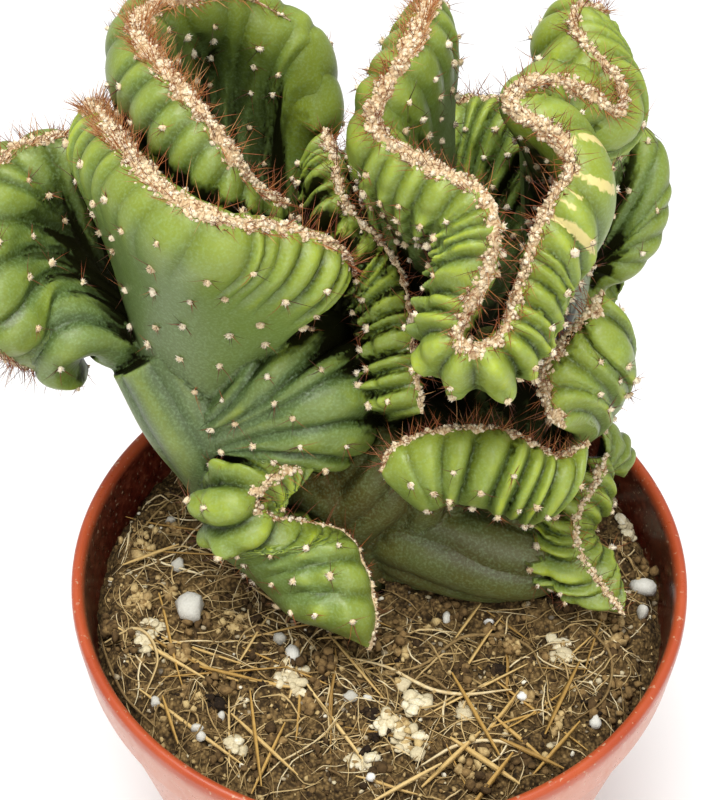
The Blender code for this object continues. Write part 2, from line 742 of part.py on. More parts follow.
def build_soil(collection, helpers, material, draw):
    edge_height = SOIL_LEVEL - SOIL_EDGE_DROP
    edge = inner_radius(edge_height) - GAP
    profile = [
        (0.0, SOIL_LEVEL),
        *[(radius * MM, SOIL_LEVEL) for radius in (14, 22, 29, 36, 43, 50)],
        (edge - 0.0055, SOIL_LEVEL - 0.0008),
        (edge - 0.0022, SOIL_LEVEL - 0.0030),
        (edge, edge_height),
        (inner_radius(0.0056) - GAP, 0.0056),
        (BASE_RADIUS - WALL - 0.0012, FLOOR + GAP),
        (0.0, FLOOR + GAP),
    ]
    soil = turned("growing_mix", profile, POT_STEPS, collection, material)
    lumps = soil_lumps(draw)
    for vertex in soil.data.vertices:
        x, y, z = vertex.co
        if z > edge_height + 0.001:
            vertex.co.z += lump_height(lumps, x, y)
    oval_post("foot_hole", (FOOT_RADII[0] + GAP, FOOT_RADII[1] + GAP), FOOT_BOTTOM - GAP, 0.12,
              helpers)
    cut_or_join(soil, helpers, "DIFFERENCE")
    return soil


def add_grain(place, size, helpers, draw):
    work = bmesh.new()
    bmesh.ops.create_icosphere(work, subdivisions=1, radius=size)
    stretch = Matrix.Diagonal((draw.uniform(0.8, 1.25), draw.uniform(0.8, 1.2), 0.75, 1))
    spin = Matrix.Rotation(draw.uniform(0, math.tau), 4, "Z")
    lift = Matrix.Translation(place + Vector((0, 0, size * 0.15)))
    bmesh.ops.transform(work, matrix=lift @ spin @ stretch, verts=work.verts)
    mesh = bpy.data.meshes.new("grain")
    work.to_mesh(mesh)
    work.free()
    add_object("grain", mesh, helpers)


def scatter_grains(soil_tree, body_tree, helpers, draw):
    """Perlite grains half sunk in the growing mix, clear of the plant and of the wall."""
    down = Vector((0, 0, -1))
    left = GRAIN_COUNT
    while left:
        angle = draw.uniform(0, math.tau)
        radius = draw.uniform(0.014, 0.052)
        size = draw.uniform(*GRAIN_SIZES)
        above = Vector((radius * math.cos(angle), radius * math.sin(angle), POT_HEIGHT))
        place = soil_tree.ray_cast(above, down)[0]
        if place.z < SOIL_LEVEL - 0.004 or distance_outside(body_tree, place) < size + 0.0012:
            continue
        add_grain(place, size, helpers, draw)
        left -= 1


def scatter_straws(body_tree, helpers, draw):
    """Dry straws lying half sunk in front of the plant."""
    left = STRAW_COUNT
    while left:
        angle = draw.uniform(-2.8, -0.3)
        radius = draw.uniform(0.030, 0.050)
        heading = draw.uniform(0, math.pi)
        length = draw.uniform(0.014, 0.026)
        bend = draw.uniform(-0.35, 0.35)
        route = []
        for along in (-0.5, -0.25, 0, 0.25, 0.5):
            turn = heading + bend * along
            route.append(Vector((radius * math.cos(angle) + length * along * math.cos(turn),
                                 radius * math.sin(angle) + length * along * math.sin(turn),
                                 SOIL_LEVEL + STRAW_RADIUS / 3)))
        if any(math.hypot(p.x, p.y) > 0.054 for p in route):
            continue
        if any(distance_outside(body_tree, p) < 0.0025 for p in route):
            continue
        add_object("straw", tube_mesh("straw", route, [STRAW_RADIUS] * 5, 0, helpers), helpers)
        left -= 1


# Assembly

def main():
    clear_scene()
    draw = random.Random(SEED)
    plant = make_collection("potted_spiral_cereus")
    helpers = make_collection("cutters", hidden=True)
    green = make_material("cactus_skin", (0.16, 0.33, 0.08), 0.5)
    cream = make_material("areole_wool", (0.80, 0.58, 0.36), 0.95)
    orange = make_material("pot_plastic", (0.62, 0.12, 0.04), 0.4)
    brown = make_material("growing_mix", (0.14, 0.09, 0.05), 0.95)

    pot = build_pot(plant, helpers, orange)
    soil = build_soil(plant, helpers, brown, draw)
    body = build_cactus(plant, helpers, green)
    body_tree = tree_of(body.data)
    scatter_grains(tree_of(soil.data), body_tree, helpers, draw)
    scatter_straws(body_tree, helpers, draw)
    cut_or_join(soil, helpers, "UNION")
    holders = [tree_of(soil.data), tree_of(pot.data)]

    wool = {}
    for name, fan in FANS.items():
        if name in NO_WOOL:
            continue
        for k, stations in enumerate(wool_runs(fan, body_tree)):
            full_name = "crest_wool_" + name + ("_" + str(k + 1) if k else "")
            band = build_wool(full_name, stations, body_tree, plant, cream, draw)
            wool[full_name] = (band, fan)
    wool_trees = {name: tree_of(band.data) for name, (band, _) in wool.items()}
    grown = 0
    for name, (band, fan) in wool.items():
        others = [tree for other, tree in wool_trees.items() if other != name]
        grown += grow_crest_spines(band, fan, body_tree, others + holders, helpers, draw)
        wool_trees[name] = tree_of(band.data)
    print("crest spines", grown)
    grown = grow_areole_spines(body, body_tree, list(wool_trees.values()) + holders, helpers, draw)
    print("areole spines", grown)
    for obj in plant.objects:
        if obj is not pot:
            shade(obj, 50)


main()
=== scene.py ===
# Potted spiral cereus: the finished surfaces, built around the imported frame.
# Metres, +Z up. Shapes are given in millimetres where they are small and turned to metres by mm.

import math

import bmesh
import bpy
import numpy as np
from mathutils import Matrix, Vector, noise
from mathutils.bvhtree import BVHTree
from mathutils.kdtree import KDTree


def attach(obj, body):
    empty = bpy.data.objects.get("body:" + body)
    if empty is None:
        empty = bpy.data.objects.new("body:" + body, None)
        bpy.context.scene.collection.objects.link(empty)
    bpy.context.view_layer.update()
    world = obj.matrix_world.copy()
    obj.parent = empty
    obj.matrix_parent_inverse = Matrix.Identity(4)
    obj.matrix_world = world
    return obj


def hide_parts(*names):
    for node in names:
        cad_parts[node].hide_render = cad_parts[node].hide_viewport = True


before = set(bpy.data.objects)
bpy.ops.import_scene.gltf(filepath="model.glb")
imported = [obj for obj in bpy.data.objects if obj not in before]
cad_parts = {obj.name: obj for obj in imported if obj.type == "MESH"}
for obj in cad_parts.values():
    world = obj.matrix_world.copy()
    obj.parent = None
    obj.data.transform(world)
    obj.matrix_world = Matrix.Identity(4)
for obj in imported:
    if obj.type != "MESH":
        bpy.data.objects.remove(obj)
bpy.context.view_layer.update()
mm = 0.001
goldenAngle = 2.39996

# Fans of the crest, in mm. Lists run along the crest and are read at even places.
# crest is the growing edge, mid half way down and root where the fan leaves the stem.
# half is half the thickness. front and back swell or thin the two faces, and tuck is how much thinner the
# fan is below its ribs.
# rib is one rib's width, and creases gives the places along the crest instead. depth is a rib's height,
# fade the depths between which it dies away, bulge how far it breaks into knobs and slant how much it leans.
# dots is the distance between areoles, and dotsTo how deep they go where fade doesn't tell it.
# young is how lime the edge is, wool the band's width and spines how many stand on each centimetre.
fans = {
    "frontLeft": {
        "crest": [(-56, 41, 192), (-48, 23, 196), (-38, 7, 197), (-27, 2, 194), (-17, 6, 189),
                  (-8, 9, 182), (-5, 13, 172)],
        "mid": [(-50, 30, 170), (-41, 15, 170), (-29, 10, 166), (-16, 14, 162)],
        "root": [(-43, 19, 142), (-40, 15, 138), (-34, 14, 134), (-30, 18, 132)],
        "half": 7.5, "rib": [4.4, 5.0, 7.0, 7.4, 4.6, 3.4, 3.0], "depth": [4.0, 2.8, 0.8, 0.5, 2.0, 3.4, 3.6],
        "fade": (6, 21), "dots": 11.0, "dotsTo": 62, "back": 0.6,
        "young": [0.8, 0.45, 0.4, 0.6, 0.9, 1.0], "wool": [5.0, 4.6, 4.2, 3.6, 3.2, 3.2, 3.4],
        "spines": [170, 120, 50, 28, 30, 36, 50],
    },
    "farLeft": {
        "crest": [(-57, 43, 182), (-64, 40, 184), (-72, 36, 183), (-77, 28, 180), (-79, 18, 174),
                  (-76, 9, 167), (-73, 7, 158), (-71, 17, 144), (-65, 19, 140), (-60, 23, 138)],
        "mid": [(-53, 34, 160), (-60, 38, 160), (-64, 31, 158), (-63, 19, 156), (-57, 14, 150)],
        "root": [(-43, 21, 142), (-44, 20, 140), (-44, 19, 137)],
        "half": 6.5, "rib": 11.5, "depth": 2.6, "fade": (26, 54), "dots": 9.5,
        "young": 0.0, "wool": [2.8, 3.4, 2.6, 2.0, 1.8, 1.8, 1.4], "spines": [60, 70, 34, 24, 18],
    },
    "upperLeft": {
        "crest": [(-17, 19, 184), (-22, 16, 190), (-26, 14, 198), (-31, 18, 204), (-37, 25, 207),
                  (-45, 41, 207), (-43, 52, 206), (-36, 55, 206), (-29, 61, 203), (-22, 63, 198),
                  (-14, 62, 192), (-12, 59, 184), (-13.5, 54, 175)],
        "mid": [(-22, 21, 160), (-30, 22, 166), (-38, 28, 170), (-43, 44, 174), (-39, 64, 176),
                (-30, 66, 174), (-20, 63, 168), (-15, 55, 160)],
        "root": [(-31, 19, 135), (-34, 25, 135), (-35, 34, 138), (-28, 47, 138), (-20, 46, 136)],
        "half": 7.0, "rib": [4.6, 5.0, 6.0, 8.0, 9.0, 8.5, 8.0, 8.0, 8.0],
        "depth": [2.4, 2.2, 2.0, 1.8, 1.4, 1.2, 1.2, 1.3, 1.4], "bulge": 0.05,
        "fade": ([14, 14, 14, 22, 30, 34], [38, 38, 38, 46, 56, 60]), "dots": 8.0,
        "front": [0.45, 0.45, 0.45, 0.7, 0.9, 0.9, 0.9],
        "young": [0.2, 0.15, 0.15, 0.3, 0.5, 0.5], "wool": [2.8, 3.4, 3.8, 4.2, 4.4, 3.6, 0.6, 0, 0],
        "spines": [30, 40, 70, 130, 130, 80, 10, 0, 0],
    },
    "topSpiral": {
        "crest": [(9, 44, 214), (6, 29, 215), (2, 21, 212), (-2, 17, 206), (0, 14, 203),
                  (7, 9, 201), (15, 4, 200), (18, 1, 198), (19, -3, 194), (17, -6, 187),
                  (14, -8, 181), (13, -10, 177), (16, -12, 176), (21, -9, 177), (24, -3, 181),
                  (26, 1, 188), (29, 6, 194), (33, 11, 199), (31, 15, 202), (27, 17, 204),
                  (23, 20, 205), (24, 24, 206), (30, 27, 206), (37, 27, 203), (43.5, 27, 199),
                  (43, 31, 203), (38, 35, 207), (35, 40, 209), (37, 45, 210), (43, 49, 206)],
        "mid": [(13, 41, 185), (9, 31, 180), (7, 23, 175), (12, 20, 165), (13, 13, 158),
                (16, 11, 150), (21, 9, 150), (27, 10, 154), (34, 14, 165), (37, 25, 172),
                (33, 35, 175), (32, 39, 178), (40, 38, 175), (44, 44, 178), (43, 50, 178)],
        "root": [(13, 32, 140), (11, 25, 138), (15, 19, 132), (21, 15, 130), (29, 19, 132),
                 (38, 27, 136), (36, 35, 140), (39, 41, 140)],
        "half": 7.0,
        "creases": [0, 8, 13, 20, 27, 33, 38, 41, 45, 49, 55, 61, 64, 67, 70.5, 79.5, 82.5, 85.5, 88,
                    90.5, 95.5, 98.5, 101, 104, 108.5, 112, 114.5, 120, 127, 136, 142, 148, 155, 162,
                    170, 178, 183, 189, 193, 198, 201, 204],
        "depth": [2.4, 2.2, 2.0, 2.6, 3.8, 3.6, 4.2, 3.8, 1.8, 0.7, 1.4, 1.6, 1.5, 1.5],
        "bulge": [0.2, 0.2, 0.3, 0.6, 1.0, 0.9, 0.3, 0.3, 0.1, 0.1, 0.1, 0.1, 0.1, 0.1],
        "slant": [0, 0, 0, 0, 0, 0, 0, 0, 0, 0, 0.3, 1.0, 1.5, 1.5],
        "fade": ([9, 9, 12, 14, 10, 9, 9, 9, 10, 14, 20, 24, 24, 24],
                 [22, 22, 32, 34, 24, 22, 22, 22, 24, 30, 40, 46, 46, 46]),
        "tuck": [1.5, 1.0, 0.6, 0.6, 2.4, 3.0, 3.2, 3.2, 2.0, 0.5, 0.2, 0, 0, 0], "dots": 6.4,
        "back": [0.7, 0.6, 0.5, 0.42, 0.36, 0.34, 0.34, 0.34, 0.36, 0.45, 0.8, 1.0, 1.5, 1.4],
        "young": [0.6, 0.6, 0.8, 0.7, 0.5, 0.6, 0.9, 0.8, 0.9, 1.0, 0.7, 0.7, 0.9, 0.9],
        "wool": [4.6, 4.2, 3.4, 3.2, 3.0, 3.0, 2.6, 2.6, 3.0, 3.6, 3.4, 2.8, 2.6, 2.6],
        "spines": [130, 110, 60, 36, 34, 44, 50, 44, 36, 34, 60, 50, 36, 36],
    },
    "rightBack": {
        "crest": [(48, 50, 180), (54, 50, 176), (57.5, 44, 170), (57.5, 38, 163), (54, 35, 157),
                  (48, 33, 153), (44, 29, 149), (40, 25, 146), (35, 20, 143)],
        "mid": [(46, 41, 170), (50, 39, 164), (48, 36, 156), (44, 33, 150), (40, 30, 144),
                (35, 26, 139)],
        "root": [(38, 36, 145), (39, 36, 140), (36, 30, 134)],
        "half": 6.0, "rib": 6.5, "depth": 1.5, "bulge": 0.05, "fade": (24, 44), "dots": 8.5,
        "young": 0.35,
    },
    "rightSide": {
        "crest": [(42, 13, 168), (39, 8, 166), (36, 7, 163), (33, 5, 160), (31, 2, 156),
                  (32, -2, 152), (35, -5, 149)],
        "mid": [(46, 14, 146), (44, 12, 144), (41, 10, 140), (40, 6, 134)],
        "root": [(37, 17, 122), (37, 16, 120)],
        "half": 7.0, "rib": 5.6, "depth": 3.8, "fade": (16, 36), "tuck": 0.5, "dots": 7.0,
        "front": 0.45, "young": 0.75, "wool": [3.0, 3.6, 3.8, 3.4], "spines": [60, 50, 40, 30],
    },
    "frontLow": {
        "crest": [(0, -7, 139), (3, -4, 143), (10, -3, 146), (17, -3, 147), (24, -3, 146),
                  (30, -4, 143), (35, -4, 140), (41, 0, 140)],
        "mid": [(4, -5, 131), (12, -2, 132), (24, -3, 132), (37, -3, 130)],
        "root": [(13, 7, 118), (21, 8, 118), (32, 8, 116)],
        "half": 7.5, "rib": [8.5, 8.0, 6.4, 5.4, 3.4, 3.0, 4.6], "depth": [1.5, 2.2, 3.0, 3.8, 3.8, 3.4, 2.0],
        "fade": (9, 18), "tuck": 3.2, "dots": 6.0, "back": 0.45,
        "young": 0.8, "wool": [2.2, 2.6, 2.6, 2.8, 2.4], "spines": [50, 44, 40, 44, 40],
    },
    "centre": {
        "crest": [(-11, 40, 186), (-9, 31, 185), (-7, 23, 181), (-1, 19, 176), (3, 17, 171),
                  (5, 13, 166), (6, 7, 160), (7, 2, 154), (8, -1, 149)],
        "mid": [(-7, 34, 163), (-2, 25, 155), (2, 18, 142), (3, 10, 133)],
        "root": [(2, 30, 130), (5, 23, 122), (6, 18, 118)],
        "half": 7.0, "rib": [3.8, 3.4, 3.6], "depth": 3.8, "bulge": 0.75, "fade": (9, 20), "tuck": 2.4,
        "dots": 4.6, "back": 0.40,
        "young": 0.45, "wool": [2.6, 2.2, 2.0, 1.6, 1.8], "spines": [50, 36, 28, 24, 24],
    },
    "midLeft": {
        "crest": [(-19, 27, 148), (-10, 25, 144), (-5, 18, 138), (-6, 10, 131), (-12, 3, 126)],
        "mid": [(-28, 9, 150), (-17, 6, 150), (-15, 3, 144), (-24, 3, 134)],
        "root": [(-40, 14, 132), (-37, 10, 130), (-34, 7, 124)],
        "half": 6.5, "rib": 6.0, "depth": 2.7, "fade": (36, 62), "dots": 7.5,
        "young": 0.05,
    },
    "lowerLeft": {
        "crest": [(-12, -1, 136), (-17, -3, 136), (-21.5, -5, 134), (-25, -7, 131), (-22.5, -8, 127),
                  (-16, -6, 123), (-7, -6, 119), (-3, -12, 115), (-1, -19, 110), (-2, -24, 104)],
        "mid": [(-21, 1, 128), (-28, 0, 126), (-30.5, -4, 122), (-25, -7, 118), (-18, -11, 113),
                (-10, -19, 106)],
        "root": [(-27, 6, 120), (-29, 3, 119), (-28, -3, 115), (-25, -6, 110), (-16, -11, 104)],
        "half": 6.5, "rib": [3.4, 3.2, 4.6, 6.0, 3.6, 4.8, 7.0, 8.0],
        "depth": [3.2, 3.8, 4.2, 4.0, 3.6, 2.4, 1.4, 1.2],
        "fade": (9, 22), "tuck": 1.6, "dots": 5.6, "bulge": 0.5, "back": [1.0, 1.0, 0.9, 0.6, 0.5],
        "young": 0.4, "wool": [2.4, 3.6, 2.4, 0.9, 0.6, 0.9, 1.6, 2.2], "spines": [16, 18, 10, 4, 4, 4],
    },
    "lowerRight": {
        "crest": [(48, 14, 121), (45, 8, 118), (41, 2, 114), (42, -4, 110), (46, -9, 106),
                  (51, -14, 102)],
        "mid": [(46, 17, 114), (41, 10, 111), (37, 6, 108), (38, 2, 105), (43, -3, 102)],
        "root": [(40, 22, 106), (34, 14, 104), (30, 9, 103), (34, 6, 101), (40, 0, 99)],
        "half": 7.0, "rib": [3.8, 3.4, 3.4, 4.4], "depth": [4.0, 4.4, 3.4], "bulge": 0.6,
        "fade": (8, 20), "tuck": 2.4, "dots": 5.0,
        "young": 0.5, "wool": [2.6, 2.4, 2.0, 1.8], "spines": [20, 16, 12],
    },
    "lowRightBack": {
        "crest": [(46, 17, 126), (51, 18, 122), (54, 17, 117), (53, 15, 112)],
        "mid": [(47, 20, 114), (48, 19, 110)],
        "root": [(43, 22, 107), (43, 19, 104)],
        "half": 6.0, "rib": 6.0, "depth": 2.4, "fade": (10, 28), "dots": 8.0,
        "young": 0.15,
    },
    "backRight": {
        "crest": [(-14, 58, 158), (-4, 66, 164), (8, 66, 168), (20, 70, 172), (34, 64, 172),
                  (46, 58, 166), (54, 48, 158)],
        "mid": [(-4, 46, 140), (14, 52, 142), (34, 46, 142)],
        "root": [(0, 22, 118), (12, 22, 118), (20, 20, 118)],
        "half": 7.0, "rib": 6.0, "depth": 3.6, "fade": (14, 36), "dots": 8.0,
        "young": 0.5, "wool": 3.0, "spines": 34,
    },
    "backLeft": {
        "crest": [(-58, 40, 150), (-52, 52, 156), (-38, 60, 158), (-24, 58, 154), (-16, 50, 148)],
        "mid": [(-46, 32, 132), (-34, 40, 132), (-22, 36, 130)],
        "root": [(-24, 14, 112), (-14, 16, 112)],
        "half": 6.5, "rib": 6.0, "depth": 3.4, "fade": (14, 36), "dots": 8.0,
        "young": 0.4, "wool": 2.8, "spines": 30,
    },
    "inner": {
        "crest": [(-26, 34, 156), (-18, 40, 162), (-10, 36, 165), (-4, 30, 162), (0, 22, 154)],
        "mid": [(-16, 28, 140), (-8, 28, 142), (0, 20, 138)],
        "root": [(-6, 16, 116), (0, 16, 116), (4, 14, 116)],
        "half": 6.5, "rib": 4.8, "depth": 4.0, "fade": (10, 26), "tuck": 2.0, "dots": 5.0,
        "young": 0.3, "wool": 2.0, "spines": 34,
    },
}

# Round stems that carry the fans: points with the radius at each
stems = {
    "trunkLeft": [(-9, 10, 80, 11.5), (-7, 11, 106, 11.5), (0, 12, 120, 12), (6, 14, 134, 11)],
    "trunkRight": [(9, 12, 80, 11.5), (9, 12, 106, 12), (9, 13, 120, 12), (11, 15, 134, 12)],
    "neck": [(-13, 9, 99, 9), (-25, 6, 112, 10), (-32, 11, 124, 10.5), (-38, 13, 136, 11),
             (-46, 18, 148, 9)],
    "sideBranch": [(-2, 14, 104, 9), (8, 9, 104, 12), (18, 6, 103, 12.5), (29, 4, 102, 11.5),
                   (38, 6, 100, 9)],
    "backStem": [(-6, 16, 104, 9), (-14, 20, 112, 9), (-22, 26, 122, 8)],
    "core": [(22, 24, 80, 12), (25, 26, 112, 12), (30, 26, 138, 10)],
    "rightCore": [(34, 28, 112, 8), (38, 32, 136, 7), (40, 37, 152, 5.5), (38, 39, 170, 4)],
    "oldPad": [(-8, 10, 98, 8), (-11, 9, 110, 9.5), (-15, 9, 122, 8.5), (-19, 12, 131, 6)],
    "oldStem": [(23, 22, 98, 4.2), (23, 18, 118, 4.4), (22, 16, 134, 4.2), (23, 20, 150, 4)],
}

# Ribs round each stem, their height in mm and how corky its skin has grown
stemLook = {
    "trunkLeft": (9, 1.8, 0.95), "trunkRight": (9, 2.0, 0.7), "neck": (7, 0.8, 0.0),
    "sideBranch": (7, 1.4, 0.75), "backStem": (7, 1.6, 0.9), "core": (8, 2.0, 0.3),
    "rightCore": (7, 2.6, 0.3), "oldStem": (5, 0.4, 1.0), "oldPad": (5, 0.4, 1.0),
}


# Colours and node trees

def linearColour(hexText):
    channels = [int(hexText[i:i + 2], 16) / 255 for i in (1, 3, 5)]
    return (*[c / 12.92 if c <= 0.04045 else ((c + 0.055) / 1.055) ** 2.4 for c in channels], 1.0)


def addNode(material, kind, settings=None, links=None):
    # A colour given as hex is made linear, stops fill a colour ramp, and span gives the ends of a Map
    # Range. A link may come from a node, which stands for its first output.
    node = material.node_tree.nodes.new("ShaderNode" + kind)
    for name, value in (settings or {}).items():
        if name == "stops":
            elements = node.color_ramp.elements
            while len(elements) < len(value):
                elements.new(0.5)
            for element, (place, shade) in zip(elements, value):
                element.position = place
                element.color = linearColour(shade)
        elif name == "span":
            for socket, end in zip(("From Min", "From Max", "To Min", "To Max"), value):
                node.inputs[socket].default_value = end
        elif isinstance(name, int) or name in node.inputs:
            isHex = isinstance(value, str) and value.startswith("#")
            node.inputs[name].default_value = linearColour(value) if isHex else value
        else:
            setattr(node, name, value)
    for name, source in (links or {}).items():
        output = source.outputs[0] if isinstance(source, bpy.types.Node) else source
        material.node_tree.links.new(output, node.inputs[name])
    return node


def newMaterial(name):
    material = bpy.data.materials.new(name)
    material.use_nodes = True
    material.node_tree.nodes.clear()
    return material


def finishMaterial(material, shader):
    addNode(material, "OutputMaterial", links={"Surface": shader})
    return material


def patternSpace(material, sizeInMm):
    # Object coordinates scaled so that one unit of pattern is sizeInMm across
    place = addNode(material, "TexCoord")
    return addNode(material, "VectorMath", {"operation": "SCALE", "Scale": 1000 / sizeInMm},
                   {"Vector": place.outputs["Object"]})


# Mesh helpers

def makePiece(name, points, faces, material, marks=None):
    mesh = bpy.data.meshes.new(name)
    mesh.from_pydata(np.asarray(points).tolist(), [], np.asarray(faces).tolist())
    for mark, values in (marks or {}).items():
        mesh.attributes.new(mark, "FLOAT", "POINT").data.foreach_set("value", np.asarray(values, np.float32))
    mesh.shade_smooth()
    mesh.materials.append(material)
    piece = bpy.data.objects.new(name, mesh)
    bpy.context.scene.collection.objects.link(piece)
    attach(piece, "root")
    return piece


def pointsOf(mesh, what="co"):
    flat = np.empty(len(mesh.vertices) * 3, np.float32)
    mesh.vertices.foreach_get(what, flat)
    return flat.reshape(-1, 3).astype(float)


def trianglesOf(mesh):
    mesh.calc_loop_triangles()
    flat = np.empty(len(mesh.loop_triangles) * 3, np.int32)
    mesh.loop_triangles.foreach_get("vertices", flat)
    return flat.reshape(-1, 3)


def smoothCurve(points, at):
    points = np.asarray(points, float)
    last = len(points) - 1
    padded = np.vstack([2 * points[0] - points[1], points, 2 * points[-1] - points[-2]])
    place = np.clip(np.asarray(at) * last, 0, last - 1e-9)
    start = place.astype(int)
    f = (place - start)[:, None]
    a, b, c, d = (padded[start + k] for k in range(4))
    return 0.5 * (2 * b + (c - a) * f + (2 * a - 5 * b + 4 * c - d) * f**2
                  + (3 * b - a - 3 * c + d) * f**3)


def ramp(value, low, high):
    t = np.clip((value - low) / (high - low), 0, 1)
    return t * t * (3 - 2 * t)


def unit(vectors):
    return vectors / np.maximum(np.linalg.norm(vectors, axis=-1, keepdims=True), 1e-12)


def frameOf(directions):
    # Two directions square to each of the given ones
    helper = np.where(np.abs(directions[:, 2:3]) < 0.9, [[0.0, 0.0, 1.0]], [[1.0, 0.0, 0.0]])
    side = unit(np.cross(directions, helper))
    return side, np.cross(directions, side)


def ringAround(centres, side, other, radii, angles=(0, 2 * math.pi / 3, 4 * math.pi / 3)):
    return [centres + (side * math.cos(angle) + other * math.sin(angle)) * radii for angle in angles]


def spreadAlong(values, count):
    # Reads a short list of settings at count even places from its first value to its last
    values = np.atleast_1d(np.asarray(values, float))
    return np.interp(np.linspace(0, 1, count), np.linspace(0, 1, len(values)), values)


# Fans

ribs = {
    "step": 0.5,             # mm between samples along the crest
    "rows": 80,              # samples from root to crest
    "uneven": 0.58,          # how much rib widths differ
    "round": 0.44,           # under 1 gives cushions with narrow creases between
    "swing": 0.22,           # how much ribs differ in height
    "areoleBulge": 0.18,     # how much a rib swells under each areole, unless a fan has its own bulge
    "firstAreole": 4.2,      # mm below the crest
    "tipSwell": 0.45,        # how far a rib's lower end stands out as a nose
    "tipLength": 3.2,        # mm, how long that nose is
    "level": 0.68,           # the part of a rib's height that lies under the fan's plain surface
    "deepest": 0.62,         # how far a crease may cut into the fan's thickness
    "shoulder": 1.15,        # depth of the rounded edge, in half thicknesses
    "thinning": 0.25,        # how much thinner a fan is 30 mm below its edge
    "endTaper": 9.0,         # mm over which a fan closes at its two ends
    "backShift": 0.37,       # how far the back face's ribs stand beside those in front
}


def fanSheet(fan):
    fine = np.linspace(0, 1, 1200)
    edge = smoothCurve(fan["crest"], fine)
    arc = np.concatenate([[0], np.cumsum(np.linalg.norm(np.diff(edge, axis=0), axis=1))])
    along = np.linspace(0, arc[-1], max(int(arc[-1] / ribs["step"]), 12))
    at = np.interp(along, arc, fine)
    crest, mid, root = (smoothCurve(fan[key], at) for key in ("crest", "mid", "root"))
    pull = 2 * mid - (root + crest) / 2
    v = (np.sin(np.linspace(0, 1, ribs["rows"]) * math.pi / 2) ** 0.9)[:, None, None]
    sheet = (1 - v) ** 2 * root + 2 * v * (1 - v) * pull + v**2 * crest
    pieces = np.linalg.norm(np.diff(sheet, axis=0), axis=2)
    depth = np.zeros(sheet.shape[:2])
    depth[:-1] = np.cumsum(pieces[::-1], axis=0)[::-1]
    return sheet, along, depth


def ribTurns(fan, along):
    # Counts ribs along the crest, each of its own width, or between creases given in mm
    if "creases" in fan:
        return np.interp(along, fan["creases"], np.arange(len(fan["creases"])))
    width = spreadAlong(fan["rib"], len(along))
    even = np.concatenate([[0], np.cumsum(np.diff(along) / width[1:])])
    shares = np.random.default_rng(int(even[-1] * 10)).uniform(1 - ribs["uneven"], 1 + ribs["uneven"], 90)
    return np.interp(even, np.concatenate([[0], np.cumsum(shares)]), np.arange(91))


def fanSkin(fan, seed):
    # The closed skin in mm, ring by ring over the crest, with its marks for colour and areoles
    sheet, along, depth = fanSheet(fan)
    rng = np.random.default_rng(seed)
    normal = unit(np.cross(np.gradient(sheet, axis=1), np.gradient(sheet, axis=0)))
    half = fan["half"]
    fadeStart, fadeEnd, tuck = (spreadAlong(values, len(along))[None, :]
                                for values in (*fan["fade"], fan.get("tuck", 0)))
    shoulder = ribs["shoulder"] * half
    thickness = half * np.sqrt(1 - (1 - np.clip(depth / shoulder, 0, 1)) ** 2)
    thickness *= 1 - ribs["thinning"] * ramp(depth, shoulder, 30)
    thickness -= tuck * ramp(depth, fadeStart + 2, fadeEnd + 4)
    fromEnd = np.minimum(along, along[-1] - along)
    taper = np.sqrt(1 - (1 - np.clip(fromEnd / ribs["endTaper"], 0, 1)) ** 2)[None, :]
    swell = [spreadAlong(fan.get(key, 1.0), len(along))[None, :] for key in ("front", "back")]
    thickness = [thickness * s * taper for s in swell]
    skin = np.concatenate([sheet + normal * thickness[0][..., None],
                           (sheet - normal * thickness[1][..., None])[::-1][1:]])
    out = np.concatenate([normal, -normal[::-1][1:]])
    below = np.concatenate([depth, depth[::-1][1:]])
    front = np.concatenate([np.ones(len(sheet)), np.zeros(len(sheet) - 1)])[:, None]
    up = unit(np.gradient(sheet, axis=0)[-1])
    top = np.exp(-(below / (0.35 * shoulder)) ** 2)[..., None]
    out = unit(out * (1 - top) + up[None] * top)

    # Where a bend brings the ribs together they stay low, so that neighbours don't cross
    apart = np.linalg.norm(np.gradient(skin, axis=1), axis=2) / np.gradient(along)[None, :]
    slant = spreadAlong(fan.get("slant", 0), len(along))[None, :] * front
    turns = np.interp(along[None, :] + slant * np.clip(below, 0, 30), along, ribTurns(fan, along))
    turns = turns + np.where(front > 0, 0.0, ribs["backShift"])
    ridge = np.abs(np.sin(math.pi * turns)) ** ribs["round"]
    number = np.floor(turns).astype(int) + 2
    ribSwing = rng.uniform(-1, 1, number.max() + 2)[number]
    ribReach = rng.uniform(-3, 3, number.max() + 2)[number]
    height = spreadAlong(fan["depth"], len(along))[None, :] * (1 + ribs["swing"] * ribSwing)
    height = height * np.clip(apart, 0.12, 1.1) * np.where(front > 0, swell[0], swell[1])
    shift = ribs["firstAreole"] + np.where(number % 2, 0.5, 0.0) * fan["dots"]
    bulge = np.cos(2 * math.pi * (below - shift) / fan["dots"])
    knobs = spreadAlong(fan.get("bulge", ribs["areoleBulge"]), len(along))[None, :]
    height = height * (1 + knobs * bulge * ramp(below, 2, 6))
    nose = np.exp(-((below + ribReach - fadeStart - 1.5) / ribs["tipLength"]) ** 2)
    height = height * (1 + ribs["tipSwell"] * nose * ramp(tuck, 0, 2))
    live = ramp(below, -1.2, 1.4) * (1 - ramp(below + ribReach, fadeStart, fadeEnd))
    live = live * (0.35 + 0.65 * taper) * ramp(fromEnd, 0.2, 2.0)[None, :]
    room = np.concatenate([thickness[0], thickness[1][::-1][1:]])
    lift = np.maximum(height * live * (ridge - ribs["level"]), -ribs["deepest"] * room)
    skin = skin + out * lift[..., None]
    live = live * np.clip(height / 4, 0, 1)
    marks = {
        "crestDepth": below, "turns": turns, "live": live,
        "young": spreadAlong(fan["young"], len(along))[None, :] + 0 * below, "cork": 0 * below,
        "scar": scarMark(fan, along[None, :] + 0 * below, below, front + 0 * below, apart),
    }
    return skin, out, marks


